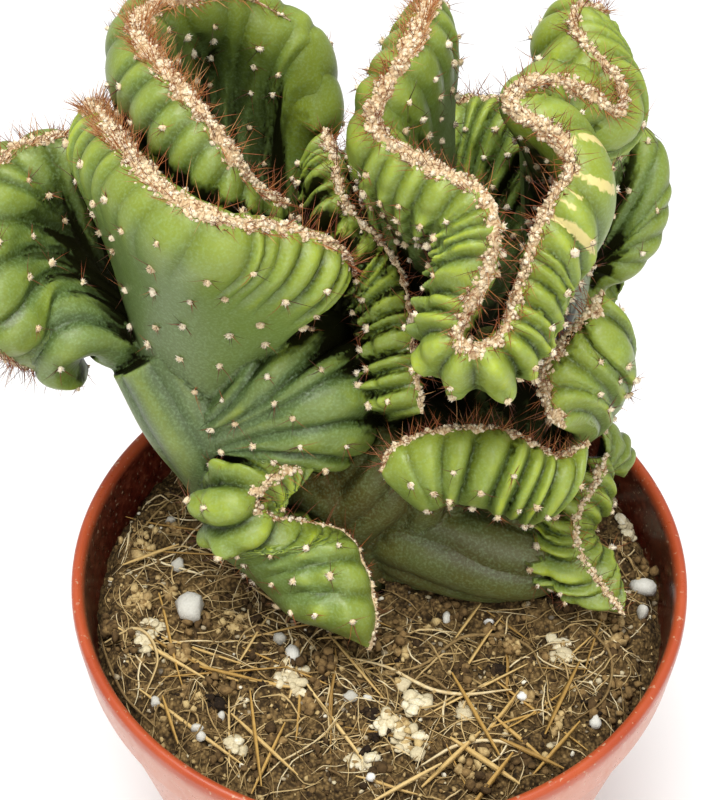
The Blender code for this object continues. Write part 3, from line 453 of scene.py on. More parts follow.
def ringFaces(rings, columns, first):
    ring = np.arange(rings)[:, None]
    column = np.arange(columns - 1)[None, :]
    here = first + ring * columns + column
    beyond = first + ((ring + 1) % rings) * columns + column
    return np.stack([here, here + 1, beyond + 1, beyond], axis=-1).reshape(-1, 4)


def crestFrame(fan, step):
    sheet, along, _ = fanSheet(fan)
    at = np.linspace(0, len(along) - 1, max(int(along[-1] / step), 3) + 1)
    columns = np.arange(len(along))
    upAll = unit(np.gradient(sheet, axis=0)[-1])
    point = np.stack([np.interp(at, columns, sheet[-1][:, k]) for k in range(3)], axis=1)
    up = unit(np.stack([np.interp(at, columns, upAll[:, k]) for k in range(3)], axis=1))
    tangent = unit(np.gradient(point, axis=0))
    up = unit(up - tangent * np.sum(up * tangent, axis=1, keepdims=True))
    return point, tangent, up, np.cross(tangent, up)


# Healed scars on the outer face of the spiral's right arm: mm along the crest, length, width and lean
scars = [(133.6, 9.0, 2.0, 0.05), (128.8, 9.0, 1.5, 0.22), (120.4, 13.0, 1.6, 0.36),
         (123.6, 1.6, 0.8, 0.3), (126.0, 1.6, 0.8, 0.3)]


def scarMark(fan, along, below, front, apart):
    mark = np.zeros(below.shape)
    if fan is not fans["topSpiral"]:
        return mark
    for place, length, width, lean in scars:
        t = np.clip((below - 0.8) / length, 0, 1)
        halfWidth = 0.62 * width * np.sin(math.pi * (0.12 + 0.88 * t)) ** 0.6 - 0.8 * ramp(t, 0.5, 1)
        away = np.abs(along - place - lean * (below - 1.2)) * np.clip(apart, 0.5, 3)
        mark = np.maximum(mark, np.clip(0.5 + (halfWidth - away) / 3.0, 0, 1) * (front > 0.5))
    return mark * (below < 16)


# The green body

bodyLook = {
    "voxel": 0.00048,        # metres, the grain at which the fans grow together
    "mostTriangles": 380000,
    "lowest": 0.0900,        # the lobes in front end just under the mix's surface
    "softRounds": 5,         # how far round a point the skin is averaged to tell creases from ridges
    "fullBend": 0.7,         # mm off that average that count as a full ridge or crease
    "shelterRays": 12,
    "shelterReach": 0.050,   # metres within which other parts take a point's light
    "stemMarks": {"crestDepth": 40.0, "live": 0.4, "young": 0.1, "scar": 0.0},
}

# Which fans go into which piece; the stems go into the last
bodyParts = {
    "leftFans": ["frontLeft", "farLeft", "upperLeft", "midLeft", "backLeft"],
    "spiralFan": ["topSpiral", "rightBack"],
    "lowerFans": ["rightSide", "frontLow", "centre", "lowerLeft", "lowerRight", "lowRightBack",
                  "backRight", "inner"],
}


def stemSkin(name):
    count, height, _ = stemLook[name]
    route = smoothCurve(stems[name], np.linspace(0, 1, 70))
    centre, radius = route[:, :3], route[:, 3]
    tangent = unit(np.gradient(centre, axis=0))
    side = unit(np.cross(tangent, [0.0, 1.0, 0.2]))
    other = np.cross(tangent, side)
    angle = np.linspace(0, 2 * math.pi, 96, endpoint=False)[:, None]
    turns = count * angle / (2 * math.pi) + 0.25 * np.sin(np.linspace(0, 5, 70))[None, :]
    rise = height * (np.abs(np.sin(math.pi * turns)) ** ribs["round"] - ribs["level"])
    rise = rise * (1 + 0.25 * np.sin(np.linspace(0, 17, 70) + 2 * np.floor(turns)))
    return centre + (np.cos(angle)[..., None] * side + np.sin(angle)[..., None] * other) * (
        radius + rise)[..., None], turns


def skinMaterial():
    # Living cactus skin with a thin coat of wax: lime where it is new, grey green where the wax has
    # thickened, with painted shade dark in the creases and hollows and near black brown where no light
    # comes, and painted highlights pale on the ridges and partly lime along the rib tops. The eye sees
    # broad soft highlights.
    skin = newMaterial("waxyCactusSkin")
    depth, turns, live, young, scar, cork, hollow, shelter = (
        addNode(skin, "Attribute", {"attribute_name": name}).outputs["Fac"]
        for name in ("crestDepth", "turns", "live", "young", "scar", "cork", "hollow", "shelter"))
    blotch = addNode(skin, "TexNoise", {"Scale": 1.0, "Detail": 3.0, "Roughness": 0.55},
                     {"Vector": patternSpace(skin, 11)})
    wander = addNode(skin, "Math", {"operation": "MULTIPLY_ADD", 1: 18.0, 2: -9.0}, {0: blotch})
    aged = addNode(skin, "Math", {"operation": "ADD"}, {0: depth, 1: wander})
    age = addNode(skin, "MapRange", {"span": (0.0, 46.0)}, {"Value": aged})
    fresh = addNode(skin, "ValToRGB", {"stops": [
        (0.0, "#88962C"), (0.16, "#7A8E33"), (0.40, "#6D8238"), (1.0, "#697943")]}, {"Fac": age})
    ripe = addNode(skin, "ValToRGB", {"stops": [
        (0.0, "#667626"), (0.22, "#5A6E2E"), (0.55, "#4F6233"), (1.0, "#56653C")]}, {"Fac": age})
    colour = addNode(skin, "MixRGB", {}, {"Fac": young, "Color1": ripe, "Color2": fresh})

    # rise is 0 in the crease beside each rib and 1 along its top
    across = addNode(skin, "Math", {"operation": "MULTIPLY", 1: math.pi}, {0: turns})
    wave = addNode(skin, "Math", {"operation": "SINE"}, {0: across})
    rise = addNode(skin, "Math", {"operation": "ABSOLUTE"}, {0: wave})
    patchy = addNode(skin, "MapRange", {"span": (0.44, 0.60, 0.0, 0.95)}, {"Value": blotch})
    eager = addNode(skin, "Math", {"operation": "MULTIPLY_ADD", 1: 0.6, 2: 0.4}, {0: young})
    corkLit = addNode(skin, "Math", {"operation": "MULTIPLY_ADD", 1: -0.6, 2: 1.0}, {0: cork})
    # Pores and specks in the wax, about half a millimetre apart, which also fray the edges of scars
    fleck = addNode(skin, "TexNoise", {"Scale": 1.0, "Detail": 2.0}, {"Vector": patternSpace(skin, 0.55)})
    frayed = addNode(skin, "Math", {"operation": "MULTIPLY_ADD", 1: 0.05, 2: -0.025}, {0: fleck})
    scarField = addNode(skin, "Math", {"operation": "ADD"}, {0: scar, 1: frayed})

    # Colours laid over the green one after another: the mark that calls for each, the span over which it
    # comes in, and the marks that hold it back
    layers = [
        # lime along the rib tops: new skin, and partly a painted highlight where light falls on them
        ("#B4C222", rise, (0.72, 1.0), [live, patchy, eager]),      # lime along the tops of ribs
        # painted highlight: every ridge is made paler by how the surface bends there
        ("#A3B356", hollow, (0.58, 1.0, 0.0, 0.45), []),            # pale on every ridge
        # painted shade: dark in the creases between ribs
        ("#1C2A08", rise, (0.60, 0.04, 0.0, 0.85), [live]),         # creases between ribs
        # painted shade: dark in all other hollows of the skin
        ("#232F0A", hollow, (0.42, 0.0, 0.0, 0.75), []),            # all other hollows
        ("#544A20", blotch, (0.3, 0.6, 0.5, 1.0), [cork]),          # corky old stems
        ("#9DBB8A", fleck, (0.45, 0.8, 0.0, 0.30), []),             # specks of wax
        # painted shade: near black where rays find the sky hidden, held back on corky skin
        ("#100D04", shelter, (0.48, 0.66, 0.0, 0.97), [corkLit]),   # pits that no light reaches
        ("#DCCB86", scarField, (0.46, 0.56, 0.0, 0.94), []),        # healed scars
    ]
    for tone, mark, span, others in layers:
        amount = addNode(skin, "MapRange", {"span": span}, {"Value": mark})
        for other in others:
            amount = addNode(skin, "Math", {"operation": "MULTIPLY"}, {0: amount, 1: other})
        colour = addNode(skin, "MixRGB", {"Color2": tone}, {"Fac": amount, "Color1": colour})

    # painted shade on the gloss: the skin reflects less where the sky is hidden
    shine = addNode(skin, "MapRange", {"span": (0.36, 0.58, 0.5, 0.04)}, {"Value": shelter})
    gloss = addNode(skin, "MapRange", {"span": (0.3, 0.7, 0.36, 0.5)}, {"Value": blotch})
    poreBump = addNode(skin, "Bump", {"Strength": 0.15, "Distance": 0.0003}, {"Height": fleck})
    softRise = addNode(skin, "Math", {"operation": "POWER", 1: 0.6}, {0: rise})
    liveRise = addNode(skin, "Math", {"operation": "MULTIPLY"}, {0: softRise, 1: live})
    ribBump = addNode(skin, "Bump", {"Strength": 0.55, "Distance": 0.0012},
                      {"Height": liveRise, "Normal": poreBump})
    shader = addNode(skin, "BsdfPrincipled", {
        "IOR": 1.45, "Subsurface Weight": 0.08, "Subsurface Scale": 0.0015,
        "Subsurface Radius": (0.6, 1.0, 0.2)}, {
        "Base Color": colour, "Roughness": gloss, "Normal": ribBump, "Specular IOR Level": shine})
    return finishMaterial(skin, shader)


def hollowness(points, normals, edges):
    # 0 in creases, 0.5 on the flat and 1 on ridges, from how the surface bends at each point
    a, b = edges.T
    size = len(points)
    count = np.maximum(np.bincount(a, minlength=size) + np.bincount(b, minlength=size), 1)

    def spread(values):
        columns = values.reshape(size, -1).T
        total = [np.bincount(a, column[b], size) + np.bincount(b, column[a], size) for column in columns]
        return (np.stack(total) / count).T.reshape(values.shape)

    soft = points
    for _ in range(bodyLook["softRounds"]):
        soft = spread(soft)
    bend = np.sum((points - soft) * normals, axis=1)
    for _ in range(2):
        bend = spread(bend)
    return np.clip(0.5 + bend / (bodyLook["fullBend"] * mm), 0, 1)


def shelterOf(points, normals, tree):
    # How much of the sky each point misses, from rays spread in a spiral over its hemisphere
    side, other = frameOf(normals)
    start = points + normals * 0.4 * mm
    count, reach = bodyLook["shelterRays"], bodyLook["shelterReach"]
    blocked = np.zeros(len(points))
    for k in range(count):
        rise, angle = 1 - (k + 0.5) / count * 0.9, k * goldenAngle
        level = math.sqrt(1 - rise**2)
        heading = side * (math.cos(angle) * level) + other * (math.sin(angle) * level) + normals * rise
        blocked += [1 - (hit[3] / reach) ** 2 if (hit := tree.ray_cast(s, h, reach))[0] else 0
                    for s, h in zip(start, heading)]
    return blocked / count


def closeEnds(mesh):
    # Fills the open ends and turns all faces outward
    work = bmesh.new()
    work.from_mesh(mesh)
    bmesh.ops.holes_fill(work, edges=[e for e in work.edges if e.is_boundary], sides=400)
    bmesh.ops.recalc_face_normals(work, faces=work.faces)
    work.to_mesh(mesh)
    work.free()


def growTogether(points, faces):
    # One skin out of all the fans and stems, then fewer faces where it is smooth
    mesh = bpy.data.meshes.new("rough")
    mesh.from_pydata(points.tolist(), [], faces.tolist())
    closeEnds(mesh)
    rough = bpy.data.objects.new("rough", mesh)
    bpy.context.scene.collection.objects.link(rough)
    grow = rough.modifiers.new("grow", "REMESH")
    grow.mode = "VOXEL"
    grow.voxel_size = bodyLook["voxel"]
    soften = rough.modifiers.new("soften", "SMOOTH")
    soften.iterations = 1
    rough.data = evaluatedMesh(rough)
    reduce = rough.modifiers.new("reduce", "DECIMATE")
    reduce.ratio = min(1.0, bodyLook["mostTriangles"] / (2 * len(rough.data.polygons)))
    grown = evaluatedMesh(rough)
    bpy.data.objects.remove(rough)
    work = bmesh.new()
    work.from_mesh(grown)
    bmesh.ops.bisect_plane(work, geom=work.verts[:] + work.edges[:] + work.faces[:],
                           plane_co=(0, 0, bodyLook["lowest"]), plane_no=(0, 0, 1), clear_inner=True)
    work.to_mesh(grown)
    work.free()
    grown.shade_smooth()
    return grown


def evaluatedMesh(piece):
    bpy.context.view_layer.update()
    graph = bpy.context.evaluated_depsgraph_get()
    mesh = bpy.data.meshes.new_from_object(piece.evaluated_get(graph))
    piece.modifiers.clear()
    return mesh


def buildBody(skin):
    names = ["crestDepth", "turns", "live", "young", "scar", "cork"]
    points, faces, columns, slopes, owners = [], [], [], [], []
    first = 0
    shapes = [(name, *fanSkin(fan, seed)[::2]) for seed, (name, fan) in enumerate(fans.items())]
    shapes += [(name, *stemSkin(name)) for name in stems]
    partOf = {name: k for k, members in enumerate(bodyParts.values()) for name in members}
    for name, rings, marks in shapes:
        size = rings.shape[0] * rings.shape[1]
        points.append(rings.reshape(-1, 3))
        faces.append(ringFaces(*rings.shape[:2], first))
        first += size
        owners.append(np.full(size, partOf.get(name, len(bodyParts) - 1)))
        if name in stems:
            marks = bodyLook["stemMarks"] | {"cork": stemLook[name][2], "turns": marks}
            slopes.append(np.zeros((size, 3)))
        else:
            step = np.gradient(rings, axis=1)
            length = np.maximum(np.sum(step**2, axis=2, keepdims=True), 0.02)
            slopes.append((step / length * np.gradient(marks["turns"], axis=1)[..., None]).reshape(-1, 3))
        plain = np.zeros(rings.shape[:2])
        columns.append(np.stack([(marks[key] + plain).reshape(-1) for key in names], axis=1))
    points, columns, slopes = np.concatenate(points), np.concatenate(columns), np.concatenate(slopes)
    grown = growTogether(points * mm, np.concatenate(faces))
    print("fans grown together,", len(grown.polygons), "faces")

    tree = KDTree(len(points))
    for i, place in enumerate(points * mm):
        tree.insert(place, i)
    tree.balance()
    skinPoints, normals = pointsOf(grown), pointsOf(grown, "normal")
    nearest = np.array([tree.find(place)[1] for place in skinPoints])
    columns = columns[nearest]
    # The nearest sample is up to half a step away, so the rib count is carried on along its slope
    columns[:, 1] += np.sum((skinPoints / mm - points[nearest]) * slopes[nearest], axis=1)
    edges = np.empty(len(grown.edges) * 2, np.int32)
    grown.edges.foreach_get("vertices", edges)
    a, b = edges.reshape(-1, 2).T
    size = len(columns)
    count = np.maximum(np.bincount(a, minlength=size) + np.bincount(b, minlength=size), 1)
    for _ in range(3):
        gap = columns[b, 1] - columns[a, 1]
        gap[np.abs(gap) > 0.5] = 0
        columns[:, 1] += 0.7 * (np.bincount(a, gap, size) - np.bincount(b, gap, size)) / count
    triangles = trianglesOf(grown)
    bodyTree = BVHTree.FromPolygons(skinPoints.tolist(), triangles.tolist())
    marks = dict(zip(names, columns.T))
    marks["hollow"] = hollowness(skinPoints, normals, edges.reshape(-1, 2))
    marks["shelter"] = shelterOf(skinPoints, normals, bodyTree)
    print("colour marks done")

    owner = np.concatenate(owners)[nearest]
    faceOwner = np.median(owner[triangles], axis=1).astype(int)
    pieces = []
    for k, name in enumerate(bodyParts):
        own = triangles[faceOwner == k]
        used, index = np.unique(own, return_inverse=True)
        piece = makePiece(name, skinPoints[used], index.reshape(-1, 3), skin,
                          {key: values[used] for key, values in marks.items()})
        piece.data.normals_split_custom_set_from_vertices(normals[used].tolist())
        pieces.append(piece)
        print(name, len(own), "triangles")
    bpy.data.meshes.remove(grown)
    return pieces, bodyTree


# Spines and wool

def spineArrays(roots, directions, lengths, thickness, shades, rng, lighter=0.0):
    # Three-sided tapering spines with one soft bend, as points, triangles and colour marks
    count = len(roots)
    radii = rng.uniform(*thickness, (count, 1)) * mm
    bends = rng.normal(0, 0.05, (count, 3))
    tints = np.clip(rng.beta(*shades, count) + lighter, 0, 1)
    roots, directions = np.asarray(roots), unit(np.asarray(directions))
    lengths = np.asarray(lengths)[:, None]
    side, other = frameOf(directions)
    middle = roots + directions * lengths * 0.5
    tip = roots + directions * lengths + bends * lengths
    points = ringAround(roots, side, other, radii) + ringAround(middle, side, other, radii * 0.72)
    points = np.stack(points + [tip], axis=1).reshape(-1, 3)
    pattern = []
    for k in range(3):
        n = (k + 1) % 3
        pattern += [(k, n, 3 + n), (k, 3 + n, 3 + k), (3 + k, 3 + n, 6)]
    faces = (np.arange(count)[:, None, None] * 7 + np.array(pattern)[None]).reshape(-1, 3)
    along = np.tile([0, 0, 0, 0.5, 0.5, 0.5, 1.0], count)
    return points, faces, {"tint": np.repeat(tints, 7), "along": along}


def fleckArrays(roots, directions, lengths, radii, tints):
    # Matted tufts of hair: short three-sided points of wool
    roots, directions = np.asarray(roots), unit(np.asarray(directions))
    lengths, radii = np.asarray(lengths)[:, None], np.asarray(radii)[:, None]
    side, other = frameOf(directions)
    points = ringAround(roots, side, other, radii, (0.0, 2.09, 4.19))
    points = np.stack(points + [roots + directions * lengths], axis=1).reshape(-1, 3)
    faces = np.arange(len(roots))[:, None, None] * 4 + np.array([(0, 1, 3), (1, 2, 3), (2, 0, 3)])[None]
    return points, faces.reshape(-1, 3), {"tint": np.repeat(tints, 4)}


def lumpArrays(centres, radii, rng, fineness=1, grain=0.38, tints=None, flat=1.0):
    # Small broken lumps, each a dented ball with a grain of jitter, as points, triangles and a tint
    ball = bmesh.new()
    bmesh.ops.create_icosphere(ball, subdivisions=fineness, radius=1.0)
    shape = np.array([v.co[:] for v in ball.verts])
    pattern = np.array([[v.index for v in f.verts] for f in ball.faces])
    ball.free()
    centres, radii = np.asarray(centres), np.asarray(radii)
    count = len(centres)
    waves = np.sin(shape @ rng.normal(0, 2.6, (count, 3, 4)) + rng.uniform(0, 6.3, (count, 1, 4)))
    dents = 0.96 + 0.34 * waves.mean(axis=2, keepdims=True)
    jitter = dents + rng.uniform(-grain, grain, (count, len(shape), 1))
    stretch = rng.uniform(0.65, 1.3, (count, 1, 3)) * [1, 1, flat]
    points = centres[:, None] + shape[None] * jitter * stretch * radii[:, None, None]
    faces = np.arange(count)[:, None, None] * len(shape) + pattern[None]
    tints = rng.uniform(0, 1, count) if tints is None else tints
    tint = np.repeat(tints, len(shape))
    return points.reshape(-1, 3), faces.reshape(-1, 3), {"tint": tint}


def tuftArrays(centres, normals, sizes, hairs, rng):
    # Round tufts of wool in one shade each: a felted lump with short hairs standing out of it
    count = len(centres)
    centres, normals, sizes = np.asarray(centres), unit(np.asarray(normals)), np.asarray(sizes)
    shades = 0.36 + 0.6 * rng.beta(2.4, 1.8, count)
    lumps = lumpArrays(centres + normals * 0.1 * sizes[:, None], 0.5 * sizes, rng, 1, 0.26, shades * 0.85)
    headings = rng.normal(0, 1, (count, hairs, 3))
    inward = np.minimum(np.sum(headings * normals[:, None], axis=2, keepdims=True), 0)
    headings = unit(headings - 2 * inward * normals[:, None] + 0.35 * normals[:, None])
    roots = centres[:, None] + headings * (0.28 * sizes)[:, None, None]
    lengths = sizes[:, None] * rng.uniform(0.28, 0.52, (count, hairs))
    radii = sizes[:, None] * rng.uniform(0.10, 0.17, (count, hairs))
    tints = np.clip(shades[:, None] + rng.normal(0, 0.16, (count, hairs)), 0, 1)
    return [lumps, fleckArrays(roots.reshape(-1, 3), headings.reshape(-1, 3), lengths.reshape(-1),
                               radii.reshape(-1), tints.reshape(-1))]


def makeFrom(name, parts, material):
    # One piece out of many sets of points, faces and marks
    firsts = np.cumsum([0] + [len(points) for points, _, _ in parts])
    faces = np.concatenate([faces + first for (_, faces, _), first in zip(parts, firsts)])
    marks = {key: np.concatenate([part[2][key] for part in parts]) for key in parts[0][2]}
    print(name, len(faces), "triangles")
    return makePiece(name, np.concatenate([part[0] for part in parts]), faces, material, marks)


def outsideBy(tree, place):
    near, normal, _, distance = tree.find_nearest(place)
    return distance if (Vector(place) - near).dot(normal) >= 0 else -distance


def woolMaterial():
    # Short felted plant hair: dry and matt, cream tufts over tan ones, with dust caught between
    wool = newMaterial("feltedAreoleWool")
    tint = addNode(wool, "Attribute", {"attribute_name": "tint"}).outputs["Fac"]
    shade = addNode(wool, "ValToRGB", {"stops": [
        (0.0, "#7A5636"), (0.25, "#C2A57C"), (0.55, "#E6D2AB"), (1.0, "#FBF3DE")]}, {"Fac": tint})
    dust = addNode(wool, "TexNoise", {"Scale": 1.0, "Detail": 3.0}, {"Vector": patternSpace(wool, 0.45)})
    dark = addNode(wool, "MapRange", {"span": (0.52, 0.34, 0.0, 0.55)}, {"Value": dust})
    mixed = addNode(wool, "MixRGB", {"Color2": "#8C5F3D"}, {"Fac": dark, "Color1": shade})
    shader = addNode(wool, "BsdfPrincipled", {
        "Roughness": 0.95, "Sheen Weight": 0.15, "Sheen Roughness": 0.5, "IOR": 1.4,
        "Specular IOR Level": 0.2}, {"Base Color": mixed})
    return finishMaterial(wool, shader)


def spineMaterial():
    # Hard dry spines, straw to fox red, darker in old age and at the tip, slightly glossy
    spine = newMaterial("dryCactusSpine")
    tint, along = (addNode(spine, "Attribute", {"attribute_name": name}).outputs["Fac"]
                   for name in ("tint", "along"))
    shade = addNode(spine, "ValToRGB", {"stops": [
        (0.0, "#2A120A"), (0.3, "#5A2A19"), (0.6, "#944C26"), (0.85, "#B06C36"), (1.0, "#CB955C")]},
        {"Fac": tint})
    tipDark = addNode(spine, "MapRange", {"span": (0.3, 1.0, 0.0, 0.30)}, {"Value": along})
    mixed = addNode(spine, "MixRGB", {"Color2": "#4A1E0E"}, {"Fac": tipDark, "Color1": shade})
    shader = addNode(spine, "BsdfPrincipled", {"Roughness": 0.42, "IOR": 1.5}, {"Base Color": mixed})
    return finishMaterial(spine, shader)


crestLook = {
    "step": 0.3,             # mm between samples along the crest
    "crown": 0.55,           # how high the band stands in its middle
    "sunk": 0.55,            # how deep its edges go into the skin
    "narrowest": 0.35,       # a band below this width is left out
    "tuftsPerMm": 1.6,       # on each square millimetre of the band
    "tuftSize": (0.5, 1.15),
    "hairs": 6,              # on each tuft
    "spineLength": (2.6, 7.8),
    "spineRadius": (0.055, 0.10),
    "spineShades": (2.0, 2.4),
    "bristlesPerMm": 2.4,    # short spines that lie in the wool, on each millimetre of crest
    "bristleLength": (1.2, 3.0),
    "bristleRadius": (0.04, 0.07),
    "bristleShades": (2.0, 2.6),
    "endGap": 1.2,           # mm left bare of tufts and spines at both ends
}


def crownAt(aside, sink):
    # Height of the band at a place from -1 to 1 across it
    return crestLook["crown"] * (1 - aside**2) - crestLook["sunk"] * np.abs(aside) ** 3 - sink


def bandArrays(point, up, across, width, rng):
    # The felt that the tufts stand on: a low crowned strip whose edges sink into the skin
    places = np.linspace(-1, 1, 7)
    lift = crownAt(places, 0.15)
    rough = rng.normal(0, 0.12, (len(point), len(places), 1))
    points = (point[:, None] + across[:, None] * (places[None, :, None] * width[:, None, None] / 2)
              + up[:, None] * (lift[None, :, None] + rough))
    here = np.arange(len(point) - 1)[:, None] * len(places) + np.arange(len(places) - 1)[None, :]
    quads = np.stack([here, here + 1, here + len(places) + 1, here + len(places)], axis=-1).reshape(-1, 4)
    triangles = np.concatenate([quads[:, [0, 1, 2]], quads[:, [0, 2, 3]]])
    return points.reshape(-1, 3) * mm, triangles, {
        "tint": np.clip(rng.normal(0.36, 0.14, points.shape[:2]).reshape(-1), 0, 1)}


def buildCrest(wool, spine, bodyTree):
    rng = np.random.default_rng(11)
    step = crestLook["step"]
    woolParts, spineParts = [], []
    for fan in fans.values():
        if "wool" not in fan:
            continue
        point, tangent, up, across = crestFrame(fan, step)
        size = len(point)
        sample = np.arange(size)
        width = spreadAlong(fan["wool"], size) * (1 + 0.12 * np.sin(sample * 0.13)
                                                  + 0.08 * np.sin(sample * 0.41 + 1))
        width *= np.sqrt(np.clip(np.minimum(sample, size - 1 - sample) * step / 3, 0.05, 1))
        free = np.array([outsideBy(bodyTree, (p + u * 0.5) * mm) > -0.0004 for p, u in zip(point, up)])
        free &= width > crestLook["narrowest"]
        spans = np.flatnonzero(np.diff(np.concatenate([[0], free, [0]])))
        for start, end in zip(spans[::2], spans[1::2]):
            if end - start > 8:
                part = slice(start, end)
                woolParts.append(bandArrays(point[part], up[part], across[part], width[part], rng))
        gap = int(crestLook["endGap"] / step)
        usable = np.arange(gap, size - gap)
        usable = usable[free[usable]]
        if len(usable) < 9:
            continue

        weight = width[usable] / width[usable].sum()
        at = rng.choice(usable, int(width[usable].sum() * step * crestLook["tuftsPerMm"]), p=weight)
        aside = rng.uniform(-1.08, 1.08, len(at))
        slide = rng.uniform(-step, step, (len(at), 1)) / 2
        centre = point[at] + tangent[at] * slide + across[at] * (aside * width[at] / 2)[:, None]
        centre += up[at] * crownAt(aside, 0.1)[:, None]
        lean = up[at] * 0.8 + across[at] * (aside * 0.9)[:, None]
        lean = lean + tangent[at] * rng.normal(0, 0.3, (len(at), 1))
        woolParts += tuftArrays(centre * mm, lean, rng.uniform(*crestLook["tuftSize"], len(at)) * mm,
                                crestLook["hairs"], rng)

        spines = spreadAlong(fan["spines"], size)
        density = spines[usable]
        at = rng.choice(usable, int(density.sum() * step / 10), p=density / density.sum())
        aside = rng.choice([-1, 1], len(at)) * rng.uniform(0.0, 1, len(at)) ** 0.6
        root = (point[at] + across[at] * (aside * width[at] / 2)[:, None] + up[at] * 0.1) * mm
        lean = aside[:, None] * rng.uniform(0.2, 1.7, (len(at), 1))
        heading = up[at] + across[at] * lean + tangent[at] * rng.normal(0, 0.6, (len(at), 1))
        # Where they stand as thick as a brush, they are young: shorter and paler
        brush = np.clip(spines[at] / 110, 0, 1)
        length = rng.uniform(*crestLook["spineLength"], len(at)) * (1 - 0.3 * brush) * mm
        spineParts.append(spineArrays(root, heading, length, crestLook["spineRadius"],
                                      crestLook["spineShades"], rng, 0.5 * brush))

        at = rng.choice(usable, int(len(usable) * step * crestLook["bristlesPerMm"]))
        aside = rng.uniform(-1, 1, len(at))
        root = (point[at] + across[at] * (aside * width[at] / 2)[:, None] + up[at] * 0.5) * mm
        heading = up[at] * rng.uniform(0.15, 0.6, (len(at), 1))
        heading = heading + across[at] * rng.normal(0, 1, (len(at), 1))
        heading = heading + tangent[at] * rng.normal(0, 1, (len(at), 1))
        length = rng.uniform(*crestLook["bristleLength"], len(at)) * mm
        spineParts.append(spineArrays(root, heading, length, crestLook["bristleRadius"],
                                      crestLook["bristleShades"], rng))
    band = makeFrom("crestWool", woolParts, wool)
    makeFrom("crestSpines", spineParts, spine)
    return band


areoleLook = {
    "deepest": 6.0,          # mm beyond a fan's fade where areoles still sit
    "spacing": 0.58,         # least distance between two, as a share of dots
    "hairs": 18,             # on each tuft
    "tuftSize": (1.1, 1.8),
    "sheltered": 0.70,       # where more of the sky is hidden, no areole shows
    "spines": (4, 9),        # how many on each, from the first up to below the second
    "spineLength": (1.6, 6.2),
    "spineRadius": (0.055, 0.10),
    "spineShades": (1.6, 2.6),
    "aboveMix": 1.5,         # mm
}


def areoleSpots(bodyTree):
    rng = np.random.default_rng(23)
    spots = []
    for seed, fan in enumerate(fans.values()):
        skin, out, marks = fanSkin(fan, seed)
        turns, below = marks["turns"], marks["crestDepth"]
        middleRow = len(skin) // 2
        for rows in (np.arange(middleRow), np.arange(middleRow + 1, len(skin))):
            line = turns[rows[0]]
            for k in range(int(line[0]), int(line[-1]) + 1):
                column = int(np.argmin(np.abs(line - (k + 0.5))))
                if abs(line[column] - (k + 0.5)) > 0.2:
                    continue
                start = ribs["firstAreole"] + (fan["dots"] / 2 if (k + 2) % 2 else 0)
                faded = spreadAlong(fan["fade"][1], len(line))[column] + areoleLook["deepest"]
                for depth in np.arange(start, fan.get("dotsTo", faded), fan["dots"]):
                    wanted = depth + rng.normal(0, 0.5)
                    row = rows[int(np.argmin(np.abs(below[rows, column] - wanted)))]
                    if abs(below[row, column] - wanted) > 1.5:
                        continue
                    near, normal, _, distance = bodyTree.find_nearest(Vector(skin[row, column] * mm))
                    if distance > 0.0009 or normal.dot(Vector(out[row, column])) < 0.3:
                        continue
                    least = areoleLook["spacing"] * fan["dots"] * mm
                    if (near.z >= (mixLook["level"] + areoleLook["aboveMix"]) * mm
                            and all((near - other).length >= least for other, _ in spots)):
                        spots.append((near, normal))
    places, normals = (np.array([list(spot[k]) for spot in spots]) for k in (0, 1))
    seen = shelterOf(places, normals, bodyTree) < areoleLook["sheltered"]
    return [spot for spot, shown in zip(spots, seen) if shown]


def buildAreoles(wool, spine, bodyTree):
    rng = np.random.default_rng(31)
    spots = areoleSpots(bodyTree)
    roots, headings, lengths = [], [], []
    for place, normal in spots:
        place, normal = np.array(place), np.array(normal)
        longest = rng.uniform(0.5, 1.15)
        for _ in range(rng.integers(*areoleLook["spines"])):
            flat = rng.normal(0, 1, 3)
            flat -= normal * (flat @ normal)
            roots.append(place - normal * 0.2 * mm)
            headings.append(normal * rng.uniform(0.2, 1.1) + unit(flat))
            lengths.append(rng.uniform(*areoleLook["spineLength"]) * longest * mm)
    centres, normals = (np.array([list(spot[k]) for spot in spots]) for k in (0, 1))
    sizes = rng.uniform(*areoleLook["tuftSize"], len(spots)) * mm
    tufts = tuftArrays(centres, normals, sizes, areoleLook["hairs"], rng)
    makeFrom("areoleTufts", tufts, wool)
    spines = spineArrays(roots, headings, lengths, areoleLook["spineRadius"], areoleLook["spineShades"], rng)
    makeFrom("areoleSpines", [spines], spine)
    print(len(spots), "areoles")


# Pot

potLook = {
    "rim": 65.0, "base": 45.0,               # outer radii in mm
    "height": 105.0, "collar": 12.5,         # the whole height, and the collar's from the rim down
    "lip": 2.7, "wall": 1.6, "floor": 2.2,   # how thick each is
    "step": 1.4,                             # how far the collar stands out
    "steps": 200,
    "holes": 8, "holeRadius": 3.5, "holeRing": 34.0,
}


